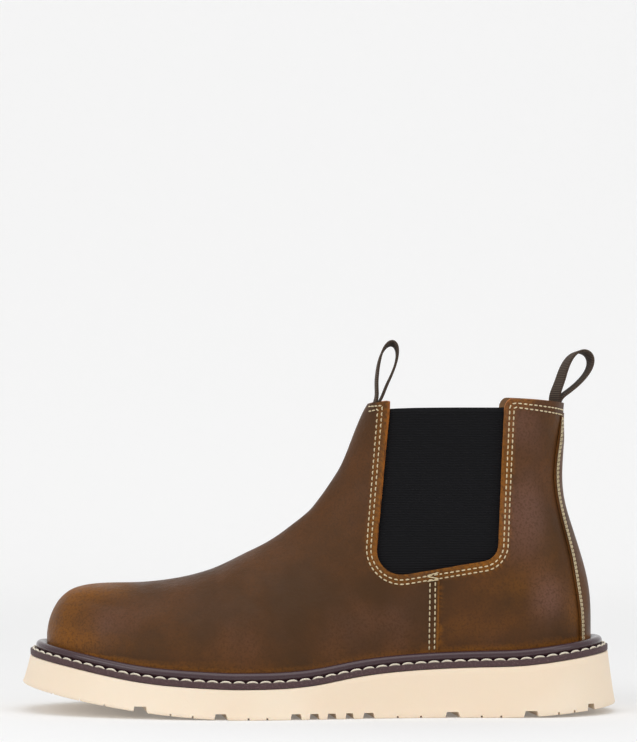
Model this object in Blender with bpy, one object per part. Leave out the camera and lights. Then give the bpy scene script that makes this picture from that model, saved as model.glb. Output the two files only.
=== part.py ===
"""Pull-on wedge sole work boot, left foot.

Metres, +Z up.  The toe points to -X and the heel to +X, and the outer side of the foot is at -Y.
The origin is on the floor, under the middle of the outsole's length and width.
"""
import math

import bmesh
import bpy
import numpy as np

# Driving sizes of the upper
LAST_LENGTH = 0.2831      # outside of the leather, toe tip to heel, where it meets the sole
BALL_WIDTH = 0.094        # outside of the leather at the ball
UPPER_HEIGHT = 0.138      # collar front above the sole under it
BACK_HEIGHT = 0.1295      # collar back above the sole under it
LEATHER = 0.0020          # wall of the upper
COLLAR_CROWN = 0.0033     # how far the collar tabs rise above its front and back ends
TOE_ROUND = 0.24          # share of the last's length in which the toe rounds off
TOE_SQUARE = 2.25         # 2 is an ellipse, more is squarer
HEEL_RADIUS = 0.034       # length in which the heel rounds off
HEEL_SQUARE = 2.1

# Driving sizes of the sole and welt
WELT_REACH = 0.0085       # flange beyond the leather
WELT_THICK = 0.0030       # flange edge
BEAD_RADIUS = 0.0020      # raised bead against the leather
BEAD_RISE = 0.70          # its middle above the flange, of its radius
BEAD_BACK = 0.50          # its back edge above its middle, of its radius
BEAD_ARC = (-35, 5, 40, 70, 100, 130)  # degrees round the bead, from its foot on the flange
SOLE_FLARE = 0.0039       # foot of the sole's wall beyond its top
HEEL_THICK = 0.0278       # wedge at its back
TOE_SPRING = 0.0149       # underside of the toe above the floor
HEEL_SPRING = 0.0046      # underside of the heel's back edge above the floor
TREAD_DEPTH = 0.0030
TREAD_SWEEP = 0.012       # how far a tread groove's middle lies ahead of its ends
INSOLE_THICK = 0.0030
INSOLE_CLEAR = 0.0011     # its edge to the leather

# Driving sizes of the elastic panels, back strip and pull loops
GORE_THICK = 0.0015
GORE_LAP = 0.005          # elastic hidden behind the leather round its window
GORE_DROP = 0.0022        # elastic's top edge below the collar's ends
WINDOW_RADII = (0.013, 0.009, 0.0055)  # front foot, rear foot, rear top
STRIP_THICK = 0.0016
STRIP_DROP = 0.0048       # strip's top edge below the collar's back end
WEBBING_WIDTH = 0.012
WEBBING_THICK = 0.0014
LOOP_TUCK = 0.012         # webbing hidden inside the collar
LOOP_CLEAR = 0.0023       # middle of the flat webbing to the curved leather
LOOP_BEND = 0.25          # share of a loop's rise in which it turns to its own lean
LOOP_FULL = 0.65          # half of its opening, of its spread
LOOP_TEAR = 1.3           # 0 is an ellipse, more is a narrower foot
FRONT_LOOP_RISE = 0.0340
FRONT_LOOP_SPREAD = 0.0086
FRONT_LOOP_LEAN = 14.0    # degrees towards the heel
FRONT_LOOP_YAW = 8.0      # degrees its top is turned about the upright
REAR_LOOP_RISE = 0.0312
REAR_LOOP_SPREAD = 0.0125
REAR_LOOP_LEAN = 32.0
REAR_LOOP_YAW = 12.0

UPRIGHT = 0.10            # share of a section that stands straight up behind the welt
WIDENING = 0.45           # share of it in which its width goes over to the flank's

GAP = 0.0003              # between neighbouring pieces
ROW_STEPS = 2             # mesh rows for each row of SECTIONS
HEEL_ROWS = (12, 14)      # rows of SECTIONS round the heel, with shorter mesh rows
HEEL_STEPS = 4
HALF_STEPS = 11           # mesh columns on each side of the ridge
STRIP_POINTS = 15         # points along the strip's front edge
LOOP_POINTS = 27          # points round a loop
LOOP_SAMPLES = 200        # places at which its lean is read
SHARP_ANGLE = 40          # degrees between faces that are shaded apart

# Outline where leather meets sole, shares: along the last; half width and centre of the ball width
PLAN_COLUMNS = ("along", "half", "centre")
PLAN = (
    (0.00, 0.460, 0.085),
    (0.10, 0.465, 0.075),
    (0.20, 0.490, 0.045),
    (0.30, 0.500, 0.005),
    (0.38, 0.490, -0.018),
    (0.50, 0.430, -0.024),
    (0.60, 0.372, -0.012),
    (0.72, 0.340, 0.000),
    (0.86, 0.335, 0.002),
    (1.00, 0.335, 0.000),
)

# Sections, toe to collar.  base runs along the last as a half turn seen from its side, so that
# its steps are short at both ends, and past 1 up the back line, short steps first; ridge and
# rise place the front or top end, as shares of the last's length and of the upper's height
# over the sole; low and flank are factors on the half width; roll is the share of the
# section that turns over to the ridge; square is that turn's exponent; lean is the ridge's place
# sideways, a share of the ball width; crown is the share of the collar's crown.
SECTION_COLUMNS = ("base", "ridge", "rise", "low", "flank", "roll", "square", "lean", "crown")
SECTIONS = (
    (0.000, 0.0000, 0.088, 1.00, 1.00, 1.00, 2.30, 0.085, 0.0),
    (0.041, 0.0046, 0.141, 1.00, 1.00, 1.00, 2.30, 0.085, 0.0),
    (0.085, 0.0166, 0.203, 1.00, 1.00, 1.00, 2.30, 0.084, 0.0),
    (0.129, 0.0389, 0.2615, 1.00, 1.00, 1.00, 2.30, 0.082, 0.0),
    (0.182, 0.0777, 0.304, 1.00, 1.00, 1.00, 2.30, 0.076, 0.0),
    (0.240, 0.1360, 0.336, 1.00, 1.00, 1.00, 2.28, 0.066, 0.0),
    (0.300, 0.2100, 0.364, 1.00, 1.00, 1.00, 2.20, 0.054, 0.0),
    (0.362, 0.2950, 0.413, 1.00, 1.00, 1.00, 2.08, 0.042, 0.0),
    (0.425, 0.3621, 0.479, 1.00, 1.02, 1.00, 1.98, 0.034, 0.0),
    (0.496, 0.3956, 0.512, 1.00, 1.05, 1.00, 1.92, 0.031, 0.0),
    (0.584, 0.4257, 0.547, 1.00, 1.11, 0.94, 1.88, 0.029, 0.0),
    (0.689, 0.4539, 0.587, 1.00, 1.10, 0.81, 1.87, 0.027, 0.0),
    (0.797, 0.4804, 0.627, 1.00, 1.05, 0.68, 1.87, 0.025, 0.0),
    (0.902, 0.5062, 0.680, 1.00, 1.01, 0.59, 1.88, 0.023, 0.0),
    (1.000, 0.5274, 0.735, 1.00, 1.00, 0.55, 1.90, 0.021, 0.0),
    (1.170, 0.5422, 0.778, 1.00, 1.00, 0.53, 1.92, 0.019, 0.0),
    (1.340, 0.5535, 0.824, 0.99, 0.99, 0.52, 1.94, 0.016, 0.0),
    (1.480, 0.5634, 0.873, 0.96, 0.96, 0.51, 1.96, 0.013, 0.0),
    (1.610, 0.5712, 0.912, 0.93, 0.93, 0.50, 1.98, 0.010, 0.0),
    (1.740, 0.5786, 0.946, 0.91, 0.92, 0.50, 2.00, 0.006, 0.1),
    (1.870, 0.5860, 0.977, 0.95, 0.96, 0.50, 2.00, 0.003, 0.4),
    (2.000, 0.5931, 1.000, 1.02, 1.02, 0.50, 2.00, 0.000, 1.0),
)

# Back line, shares: up the back height; behind the heel's foot, of the last's length
BACK_COLUMNS = ("up", "behind")
BACK = (
    (0.00, 0.000),
    (0.10, 0.000),
    (0.25, -0.003),
    (0.38, -0.0165),
    (0.51, -0.0353),
    (0.61, -0.0480),
    (0.70, -0.0522),
    (0.80, -0.0505),
    (0.90, -0.0470),
    (1.00, -0.0435),
)

# Wall of the sole, shares: along the sole; thickness, of the wedge's
SOLE_COLUMNS = ("along", "thick")
SOLE = (
    (0.000, 0.542),
    (0.050, 0.560),
    (0.113, 0.556),
    (0.206, 0.529),
    (0.306, 0.542),
    (0.403, 0.547),
    (0.453, 0.566),
    (0.503, 0.626),
    (0.552, 0.728),
    (0.600, 0.805),
    (0.652, 0.857),
    (0.752, 0.910),
    (0.850, 0.941),
    (0.952, 0.991),
    (1.000, 1.000),
)
FLAT_FROM = 0.371         # shares along the sole: the floor touches between these two
FLAT_TO = 0.816
TOE_CURVE = 1.75          # exponents of the underside's rise to toe and heel
HEEL_CURVE = 1.40

# Tread grooves, shares of the sole's length: middle, width
GROOVES = (
    (0.120, 0.016),
    (0.205, 0.026),
    (0.275, 0.016),
    (0.339, 0.023),
    (0.461, 0.020),
    (0.494, 0.018),
    (0.522, 0.017),
    (0.551, 0.015),
    (0.584, 0.021),
    (0.655, 0.014),
    (0.723, 0.024),
    (0.786, 0.014),
    (0.850, 0.024),
    (0.915, 0.014),
)

# Elastic window from its front top, shares: along the last; below the collar, of upper's height
WINDOW = (
    (0.630, 0.016),
    (0.604, 0.654),
    (0.830, 0.575),
    (0.8425, -0.026),
)

# Front edge of the back strip, shares: up the back height; ahead of the heel, of last's length
STRIP_COLUMNS = ("up", "ahead")
STRIP = (
    (-0.10, 0.008),
    (0.06, 0.008),
    (0.21, 0.0100),
    (0.33, 0.0190),
    (0.45, 0.0350),
    (0.61, 0.0530),
    (0.73, 0.0610),
    (0.85, 0.0590),
    (1.05, 0.0550),
)

HEEL_ROOM = STRIP_THICK + GAP     # the sole and welt step out for the back strip
ROOM_FROM = 0.76          # share along the last where that step begins, and its run
ROOM_RUN = 0.20
SOLE_LENGTH = LAST_LENGTH + 2 * (WELT_REACH + SOLE_FLARE) + HEEL_ROOM
TOE_X = -SOLE_LENGTH / 2 + WELT_REACH + SOLE_FLARE
HEEL_X = TOE_X + LAST_LENGTH

COLOURS = {
    "leather": (0.105, 0.046, 0.020, 1.0),
    "elastic": (0.010, 0.010, 0.011, 1.0),
    "welt": (0.055, 0.030, 0.030, 1.0),
    "foam": (0.86, 0.72, 0.55, 1.0),
    "webbing": (0.060, 0.045, 0.035, 1.0),
    "board": (0.38, 0.24, 0.13, 1.0),
}


def clear_scene():
    """Remove whatever the file opened with."""
    for item in list(bpy.data.objects):
        bpy.data.objects.remove(item, do_unlink=True)


def finish(name, roughness):
    """Plain material of one named colour."""
    material = bpy.data.materials.new(name)
    material.use_nodes = True
    shader = material.node_tree.nodes["Principled BSDF"]
    shader.inputs["Base Color"].default_value = COLOURS[name]
    shader.inputs["Roughness"].default_value = roughness
    shader.inputs["Metallic"].default_value = 0.0
    return material


def spline(knots, values, at):
    """Natural cubic spline through the values at the knots, read at the places in at."""
    knots = np.asarray(knots, float)
    values = np.asarray(values, float)
    at = np.clip(np.asarray(at, float), knots[0], knots[-1])
    step = np.diff(knots)
    slope = np.diff(values) / step
    system = np.eye(len(knots))
    bend = np.zeros(len(knots))
    for k in range(1, len(knots) - 1):
        system[k, k - 1:k + 2] = step[k - 1], 2 * (step[k - 1] + step[k]), step[k]
        bend[k] = 6 * (slope[k] - slope[k - 1])
    bend = np.linalg.solve(system, bend)
    cell = np.clip(np.searchsorted(knots, at, side="right") - 1, 0, len(step) - 1)
    width = step[cell]
    right = (at - knots[cell]) / width
    left = 1 - right
    straight = left * values[cell] + right * values[cell + 1]
    curved = (left ** 3 - left) * bend[cell] + (right ** 3 - right) * bend[cell + 1]
    return straight + curved * width ** 2 / 6


def read(table, columns, name, at):
    """One named column of a table, splined over the table's first column."""
    data = np.array(table)
    return spline(data[:, 0], data[:, columns.index(name)], at)


def rounding(share, exponent):
    """Quarter of a superellipse: 0 at the edge, 1 where the share reaches 1."""
    left = 1 - np.clip(share, 0, 1)
    return (1 - left ** exponent) ** (1 / exponent)


def ease(share):
    """Smooth step from 0 to 1."""
    share = np.clip(share, 0, 1)
    return share * share * (3 - 2 * share)


def underside(x):
    """Height of the sole's underside: flat on the floor, springing up at toe and heel."""
    along = (np.asarray(x) + SOLE_LENGTH / 2) / SOLE_LENGTH
    toe = np.clip((FLAT_FROM - along) / FLAT_FROM, 0, None)
    heel = np.clip((along - FLAT_TO) / (1 - FLAT_TO), 0, None)
    return TOE_SPRING * toe ** TOE_CURVE + HEEL_SPRING * heel ** HEEL_CURVE


def sole_top(x):
    """Height of the sole's upper face."""
    along = (np.asarray(x) + SOLE_LENGTH / 2) / SOLE_LENGTH
    return underside(x) + HEEL_THICK * read(SOLE, SOLE_COLUMNS, "thick", along)


def plan(along):
    """Half width, without the heel's rounding, and centre of the outline, in metres."""
    toe = rounding(along / TOE_ROUND, TOE_SQUARE)
    half = read(PLAN, PLAN_COLUMNS, "half", along) * BALL_WIDTH * toe
    centre = read(PLAN, PLAN_COLUMNS, "centre", along) * BALL_WIDTH
    return half, centre


def mesh_rows():
    """Places of the mesh rows, counted in rows of SECTIONS."""
    first, last = HEEL_ROWS
    end = len(SECTIONS) - 1
    front = np.arange(0, first, 1 / ROW_STEPS)
    heel = np.arange(first, last, 1 / HEEL_STEPS)
    back = np.linspace(last, end, (end - last) * ROW_STEPS + 1)
    return np.concatenate([front, heel, back])


def along_foot(base):
    """Share along the last for the base column: a half turn seen from its side."""
    return (1 - np.cos(np.clip(base, 0, 1) * math.pi)) / 2


def up_back(base):
    """Share up the back line for the base column past 1: a quarter turn from its foot."""
    return 1 - np.cos(np.clip(base - 1, 0, 1) * math.pi / 2)


def section_values(places):
    """Every column of SECTIONS at the given places, counted in rows."""
    data = np.array(SECTIONS)
    rows = np.arange(len(SECTIONS))
    return {name: spline(rows, data[:, k], places) for k, name in enumerate(SECTION_COLUMNS)}


def section_ends(values):
    """Side view ends of sections: the base on sole or back line, and the ridge."""
    foot = along_foot(values["base"])
    up = up_back(values["base"])
    base_x = TOE_X + foot * LAST_LENGTH + read(BACK, BACK_COLUMNS, "behind", up) * LAST_LENGTH
    base_z = sole_top(TOE_X + foot * LAST_LENGTH) + GAP + up * BACK_HEIGHT
    ridge_x = TOE_X + values["ridge"] * LAST_LENGTH
    ridge_z = sole_top(ridge_x) + GAP + values["rise"] * UPPER_HEIGHT
    return foot, base_x, base_z, ridge_x, ridge_z


def upper_grid():
    """Outside of the leather: a row for each section, from outer side over the ridge to inner."""
    values = section_values(mesh_rows())
    foot, base_x, base_z, ridge_x, ridge_z = section_ends(values)
    half, centre = plan(foot)
    heel_start = (1 - foot) * LAST_LENGTH
    turn = np.clip(1 - heel_start / HEEL_RADIUS, 0, 1)[:, None]
    v = np.linspace(0, 1, HALF_STEPS + 1)[None, :]
    g = (1 - turn) * np.sin(v * math.pi / 2) + turn * (1 - np.cos(v * math.pi)) / 2
    run_x = (ridge_x - base_x)[:, None]
    run_z = (ridge_z - base_z)[:, None]
    x = base_x[:, None] + run_x * g
    z = base_z[:, None] + run_z * g
    z = z + values["crown"][:, None] * COLLAR_CROWN * np.sqrt(np.sin(math.pi * np.clip(g, 0, 1)))
    low, flank = values["low"][:, None], values["flank"][:, None]
    width = half[:, None] * (low + (flank - low) * ease((g - UPRIGHT) / WIDENING))
    width = width * rounding((1 - g) / values["roll"][:, None], values["square"][:, None])
    behind = heel_start[:, None] - run_x * g
    width = width * rounding(behind / HEEL_RADIUS, HEEL_SQUARE)
    middle = centre[:, None] * (1 - g) + values["lean"][:, None] * BALL_WIDTH * g
    outer = np.stack([x, middle - width, z], axis=-1)
    inner = np.stack([x, middle + width, z], axis=-1)
    return np.concatenate([outer, inner[:, -2::-1]], axis=1)


def upper_sheet():
    """The upper's outside as one open sheet: points, offset directions and faces."""
    grid = upper_grid()
    rows, columns = grid.shape[:2]
    sheet = bmesh.new()
    points = [sheet.verts.new(point) for point in grid.reshape(-1, 3)]
    for r in range(rows - 1):
        for c in range(columns - 1):
            corner = r * columns + c
            loop = (corner, corner + columns, corner + columns + 1, corner + 1)
            sheet.faces.new([points[k] for k in loop])
    bmesh.ops.remove_doubles(sheet, verts=sheet.verts, dist=1e-6)
    sheet.normal_update()
    sheet.verts.index_update()
    places = np.array([vert.co for vert in sheet.verts])
    away = np.array([vert.normal * vert.calc_shell_factor() for vert in sheet.verts])
    edge = np.array([vert.is_boundary for vert in sheet.verts])
    level = away[edge] * (1, 1, 0)
    longer = np.sum(away[edge] ** 2, axis=1) / np.sum(level ** 2, axis=1)
    away[edge] = level * longer[:, None]
    faces = [[vert.index for vert in face.verts] for face in sheet.faces]
    rim = [(loop.vert.index, loop.link_loop_next.vert.index)
           for face in sheet.faces for loop in face.loops if loop.edge.is_boundary]
    sheet.free()
    return places, away, faces, rim


def new_object(name, points, faces, material):
    """Object from points and faces, with its edges kept sharp."""
    mesh = bpy.data.meshes.new(name)
    mesh.from_pydata([tuple(point) for point in points], [], faces)
    mesh.validate()
    if material:
        mesh.materials.append(material)
    mesh.shade_smooth()
    mesh.set_sharp_from_angle(angle=math.radians(SHARP_ANGLE))
    item = bpy.data.objects.new(name, mesh)
    bpy.context.scene.collection.objects.link(item)
    return item


def shell(name, outside, inside, material):
    """Closed wall between two depths under the upper's outside; a depth below 0 stands proud."""
    places, away, faces, rim = upper_sheet()
    count = len(places)
    points = np.concatenate([places - away * outside, places - away * inside])
    back = [[k + count for k in reversed(face)] for face in faces]
    edge = [[b, a, a + count, b + count] for a, b in rim]
    return new_object(name, points, faces + back + edge, material)


def prism(name, outline, y_from, y_to):
    """Closed block with a side view outline, carried across from one y to another."""
    count = len(outline)
    points = [(x, y, z) for y in (y_from, y_to) for x, z in outline]
    sides = [[k, (k + 1) % count, (k + 1) % count + count, k + count] for k in range(count)]
    faces = [list(range(count - 1, -1, -1)), list(range(count, 2 * count))] + sides
    item = new_object(name, points, faces, None)
    outward(item.data)
    item.hide_render = True
    item.display_type = "WIRE"
    return item


def outward(mesh):
    """Turn a closed mesh's faces outwards."""
    work = bmesh.new()
    work.from_mesh(mesh)
    bmesh.ops.recalc_face_normals(work, faces=work.faces)
    work.to_mesh(mesh)
    work.free()


def cut(item, tool, operation):
    """Exact Boolean between an object and a hidden tool."""
    modifier = item.modifiers.new(tool.name, "BOOLEAN")
    modifier.operation = operation
    modifier.solver = "EXACT"
    modifier.object = tool


def fillet(before, corner, after, radius, steps=6):
    """Arc of the given radius that rounds a corner of a side view outline."""
    before, corner, after = (np.array(point, float) for point in (before, corner, after))
    first = (before - corner) / np.linalg.norm(before - corner)
    second = (after - corner) / np.linalg.norm(after - corner)
    half_angle = math.acos(float(np.clip(first @ second, -1, 1))) / 2
    middle = (first + second) / np.linalg.norm(first + second)
    centre = corner + middle * radius / math.sin(half_angle)
    reach = radius / math.tan(half_angle)
    start = corner + first * reach - centre
    end = corner + second * reach - centre
    turn = math.atan2(start[0] * end[1] - start[1] * end[0], start @ end)
    arc = []
    for k in range(steps + 1):
        angle = turn * k / steps
        spin = np.array([[math.cos(angle), -math.sin(angle)], [math.sin(angle), math.cos(angle)]])
        arc.append(tuple(centre + spin @ start))
    return arc


def collar_ends():
    """Side view of the collar's back end and front end."""
    last = section_values(np.array([len(SECTIONS) - 1.0]))
    _, back_x, back_z, front_x, front_z = section_ends(last)
    return (float(back_x[0]), float(back_z[0])), (float(front_x[0]), float(front_z[0]))


def window_corners(grow):
    """Four corners of the elastic window, moved outwards by grow."""
    _, (_, collar) = collar_ends()
    x = [TOE_X + along * LAST_LENGTH for along, _ in WINDOW]
    z = [collar - drop * UPPER_HEIGHT for _, drop in WINDOW]
    return [(x[0] - grow, z[0]), (x[1] - grow, z[1] - grow),
            (x[2] + grow, z[2] - grow), (x[3] + grow, z[3])]


def window_outline():
    """Side view of the notch for the elastic, open at the collar, its rear corner rounded."""
    front, low_front, low_rear, rear = window_corners(0.0)
    front_radius, rear_radius, top_radius = WINDOW_RADII
    above = rear[1] + 2 * top_radius
    front_top = (front[0], above)
    past_rear = (rear[0] + 2 * top_radius, rear[1])
    outline = [front_top, front]
    outline += fillet(front, low_front, low_rear, front_radius)
    outline += fillet(low_front, low_rear, rear, rear_radius)
    outline += fillet(low_rear, rear, past_rear, top_radius)
    return outline + [past_rear, (past_rear[0], above)]


def gore_outline():
    """Side view of an elastic panel: its window and the lap behind the leather."""
    (_, _), (_, collar) = collar_ends()
    front, low_front, low_rear, rear = window_corners(GORE_LAP)
    front_radius, rear_radius, _ = WINDOW_RADII
    top = collar - GORE_DROP
    outline = [(front[0], top)]
    outline += fillet(front, low_front, low_rear, front_radius + GORE_LAP)
    outline += fillet(low_front, low_rear, rear, rear_radius + GORE_LAP)
    return outline + [(rear[0], top)]


def make_upper(leather):
    """Leather upper: one wall with a notch for the elastic on each side."""
    item = shell("upper", 0.0, LEATHER, leather)
    cut(item, prism("window_tool", window_outline(), -BALL_WIDTH, BALL_WIDTH), "DIFFERENCE")


def make_gore(name, side, elastic):
    """Elastic panel behind its window; side is -1 for the outer one and 1 for the inner one."""
    item = shell(name, LEATHER + 2 * GAP, LEATHER + 2 * GAP + GORE_THICK, elastic)
    tool = prism(name + "_tool", gore_outline(), 0.0, side * BALL_WIDTH)
    cut(item, tool, "INTERSECT")


def make_back_strip(leather):
    """Strip over the back seam, standing proud of the quarters."""
    item = shell("back_strip", -GAP - STRIP_THICK, -GAP, leather)
    (_, back_z), _ = collar_ends()
    foot_z = float(sole_top(HEEL_X)) + GAP
    top = (back_z - STRIP_DROP - foot_z) / BACK_HEIGHT
    low = WELT_THICK / BACK_HEIGHT
    up = np.linspace(low, top, STRIP_POINTS)
    ahead = read(STRIP, STRIP_COLUMNS, "ahead", up) * LAST_LENGTH
    outline = [(HEEL_X - a, foot_z + u * BACK_HEIGHT) for a, u in zip(ahead, up)]
    behind = HEEL_X + HEEL_RADIUS
    outline += [(behind, outline[-1][1]), (behind, outline[0][1])]
    cut(item, prism("strip_tool", outline, -BALL_WIDTH, BALL_WIDTH), "INTERSECT")


def outline_ring(offset, heel_room=0.0):
    """Plan outline round the sole, moved out by offset, toe tip first and outer side next."""
    base = section_values(mesh_rows())["base"]
    foot = along_foot(base[np.round(base, 6) <= 1])
    half, centre = plan(foot)
    half = half * rounding((1 - foot) * LAST_LENGTH / HEEL_RADIUS, HEEL_SQUARE)
    x = TOE_X + foot * LAST_LENGTH
    outer = np.stack([x, centre - half], axis=-1)
    inner = np.stack([x, centre + half], axis=-1)
    ring = np.concatenate([outer, inner[-2:0:-1]])
    share = np.concatenate([foot, foot[-2:0:-1]])
    ahead = np.roll(ring, -1, axis=0) - ring
    ahead = ahead / np.linalg.norm(ahead, axis=1)[:, None]
    across = np.stack([ahead[:, 1], -ahead[:, 0]], axis=-1)
    middle = across + np.roll(across, 1, axis=0)
    middle = middle / np.linalg.norm(middle, axis=1)[:, None]
    mitre = 1 / np.sum(middle * across, axis=1)
    reach = offset + heel_room * ease((share - ROOM_FROM) / ROOM_RUN)
    return ring + middle * (mitre * reach)[:, None]


def plate(name, rings, heights, material):
    """Closed plate from rings, top first, each with its heights; its ends are filled in strips."""
    count = len(rings[0])
    half = count // 2
    points = []
    for ring, height in zip(rings, heights):
        points += [(x, y, z) for (x, y), z in zip(ring, height)]
    faces = []
    for level in range(len(rings) - 1):
        start = level * count
        for k in range(count):
            after = (k + 1) % count
            faces.append([start + k, start + count + k, start + count + after, start + after])
    for start in (0, (len(rings) - 1) * count):
        for k in range(half):
            strip = [start + k, start + k + 1, start + (count - k - 1) % count,
                     start + (count - k) % count]
            faces.append([index for n, index in enumerate(strip) if index not in strip[:n]])
    item = new_object(name, points, faces, material)
    outward(item.data)
    return item


BAR_FACES = (
    (4, 5, 0, 1), (1, 2, 3, 4), (10, 7, 6, 11), (7, 10, 9, 8), (0, 1, 7, 6),
    (1, 2, 8, 7), (2, 3, 9, 8), (3, 4, 10, 9), (4, 5, 11, 10), (5, 0, 6, 11),
)


def tread_tool():
    """Chevron bars that cut the main tread grooves from the underside."""
    points = []
    faces = []
    side = BALL_WIDTH
    below = -TREAD_DEPTH
    for middle, width in GROOVES:
        x = middle * SOLE_LENGTH - SOLE_LENGTH / 2
        front, rear = x - width * SOLE_LENGTH / 2, x + width * SOLE_LENGTH / 2
        bar = ((front, -side), (front - TREAD_SWEEP, 0.0), (front, side),
               (rear, side), (rear - TREAD_SWEEP, 0.0), (rear, -side))
        start = len(points)
        points += [(px, py, below) for px, py in bar]
        points += [(px, py, float(underside(px)) + TREAD_DEPTH) for px, py in bar]
        faces += [[start + k for k in face] for face in BAR_FACES]
    item = new_object("tread_tool", points, faces, None)
    outward(item.data)
    item.hide_render = True
    item.display_type = "WIRE"
    return item


def make_outsole(foam):
    """Wedge outsole with toe spring, flared wall and chevron tread."""
    seat = outline_ring(0.0)
    top = outline_ring(WELT_REACH, HEEL_ROOM)
    foot = outline_ring(WELT_REACH + SOLE_FLARE, HEEL_ROOM)
    heights = [sole_top(seat[:, 0]), sole_top(top[:, 0]), underside(foot[:, 0])]
    item = plate("outsole", [seat, top, foot], heights, foam)
    cut(item, tread_tool(), "DIFFERENCE")


def make_insole(board):
    """Flat insole on the sole, inside the foot of the upper."""
    ring = outline_ring(-LEATHER - INSOLE_CLEAR)
    low = sole_top(ring[:, 0]) + GAP
    plate("insole", [ring, ring], [low + INSOLE_THICK, low], board)


def welt_profile():
    """Cross section of the welt: reach beyond the leather and height over the sole."""
    middle = GAP + BEAD_RADIUS
    rise = WELT_THICK + BEAD_RISE * BEAD_RADIUS
    bead = []
    for degrees in BEAD_ARC:
        angle = math.radians(degrees)
        bead.append((middle + BEAD_RADIUS * math.cos(angle), rise + BEAD_RADIUS * math.sin(angle)))
    flange = [(GAP, 0.0), (WELT_REACH, 0.0), (WELT_REACH, WELT_THICK)]
    return flange + bead + [(GAP, rise + BEAD_BACK * BEAD_RADIUS)]


def make_welt(material):
    """Welt ring: a flange to the sole's edge and a bead against the leather."""
    profile = welt_profile()
    loops = []
    for reach, height in profile:
        ring = outline_ring(reach, HEEL_ROOM)
        loops.append([(x, y, z + GAP + height) for (x, y), z in zip(ring, sole_top(ring[:, 0]))])
    count = len(loops[0])
    sides = len(loops)
    points = [loops[j][k] for j in range(sides) for k in range(count)]
    faces = []
    for j in range(sides):
        for k in range(count):
            up, after = (j + 1) % sides, (k + 1) % count
            faces.append([j * count + k, j * count + after, up * count + after, up * count + k])
    outward(new_object("welt", points, faces, material).data)


def make_loop(name, foot, tuck_angle, lean_angle, yaw, rise, spread, material):
    """Pull loop of flat webbing: two legs tucked in the collar and a teardrop above it.

    foot is the side view point where the loop's middle leaves the collar; angles are from
    upright towards the heel, in degrees; yaw turns the loop's top about the upright.
    """
    fine = np.linspace(-LOOP_TUCK, rise, LOOP_SAMPLES)
    bent = ease(fine / (rise * LOOP_BEND))
    angle = np.radians(tuck_angle + (lean_angle - tuck_angle) * bent)
    step = np.diff(fine, prepend=fine[0])
    axis_x = np.cumsum(np.sin(angle) * step)
    axis_z = np.cumsum(np.cos(angle) * step)
    axis_x = foot[0] + axis_x - np.interp(0, fine, axis_x)
    axis_z = foot[1] + axis_z - np.interp(0, fine, axis_z)
    phase = np.linspace(0, 2 * math.pi, LOOP_POINTS)
    drop = rise * (1 - np.cos(phase)) / 2
    apart = (WEBBING_THICK + GAP) / 2 * np.cos(phase / 2)
    side = apart + LOOP_FULL * spread * np.sin(phase) * np.sin(phase / 2) ** LOOP_TEAR
    along = np.concatenate([[-LOOP_TUCK, -LOOP_TUCK / 2], drop, [-LOOP_TUCK / 2, -LOOP_TUCK]])
    side = np.concatenate([[apart[0]] * 2, side, [apart[-1]] * 2])
    lean = np.interp(along, fine, angle)
    x = np.interp(along, fine, axis_x) + side * np.cos(lean)
    z = np.interp(along, fine, axis_z) - side * np.sin(lean)
    path = np.stack([x, z], axis=-1)
    ahead = np.gradient(path, axis=0)
    ahead = ahead / np.linalg.norm(ahead, axis=1)[:, None]
    across = np.stack([ahead[:, 1], -ahead[:, 0]], axis=-1) * WEBBING_THICK / 2
    turn = math.radians(yaw) * ease(along / rise)
    points = []
    for k in range(len(path)):
        for face, edge in ((1, -1), (1, 1), (-1, 1), (-1, -1)):
            px, pz = path[k] + face * across[k]
            py = edge * WEBBING_WIDTH / 2
            swing = px - foot[0]
            points.append((foot[0] + swing * math.cos(turn[k]) - py * math.sin(turn[k]),
                           swing * math.sin(turn[k]) + py * math.cos(turn[k]), pz))
    faces = [[0, 1, 2, 3], [len(points) - 1, len(points) - 2, len(points) - 3, len(points) - 4]]
    for k in range(len(path) - 1):
        for c in range(4):
            a, b = 4 * k + c, 4 * k + (c + 1) % 4
            faces.append([a, b, b + 4, a + 4])
    outward(new_object(name, points, faces, material).data)


def make_loops(webbing):
    """Front and rear pull loops, each seated against the inside of the collar."""
    back, front = collar_ends()
    half_stack = WEBBING_THICK + GAP / 2
    seat = LEATHER + LOOP_CLEAR + half_stack
    before = section_values(np.array([len(SECTIONS) - 2.0]))
    _, low_back_x, low_back_z, low_front_x, low_front_z = section_ends(before)
    front_angle = math.degrees(math.atan2(front[0] - low_front_x[0], front[1] - low_front_z[0]))
    back_angle = math.degrees(math.atan2(back[0] - low_back_x[0], back[1] - low_back_z[0]))
    front_seat = seat / math.cos(math.radians(front_angle))
    make_loop("front_pull_loop", (front[0] + front_seat, front[1]), front_angle,
              FRONT_LOOP_LEAN, FRONT_LOOP_YAW, FRONT_LOOP_RISE, FRONT_LOOP_SPREAD, webbing)
    make_loop("rear_pull_loop", (back[0] - seat, back[1]), back_angle,
              REAR_LOOP_LEAN, REAR_LOOP_YAW, REAR_LOOP_RISE, REAR_LOOP_SPREAD, webbing)


def build():
    """Model the boot from the floor up."""
    clear_scene()
    leather = finish("leather", 0.45)
    elastic = finish("elastic", 0.9)
    webbing = finish("webbing", 0.85)
    make_outsole(finish("foam", 0.6))
    make_welt(finish("welt", 0.35))
    make_insole(finish("board", 0.8))
    make_upper(leather)
    make_gore("gore_outer", -1, elastic)
    make_gore("gore_inner", 1, elastic)
    make_back_strip(leather)
    make_loops(webbing)


build()
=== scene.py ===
"""Pull-on wedge sole work boot, left foot: looks, floor, light and camera.

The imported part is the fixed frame.  Every piece is worked out in the boot's own frame, in metres:
+Z up, the toe at -X, the heel at +X, the outer side of the foot at -Y.
"""
import logging
import math
from dataclasses import dataclass
from enum import IntEnum

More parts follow.
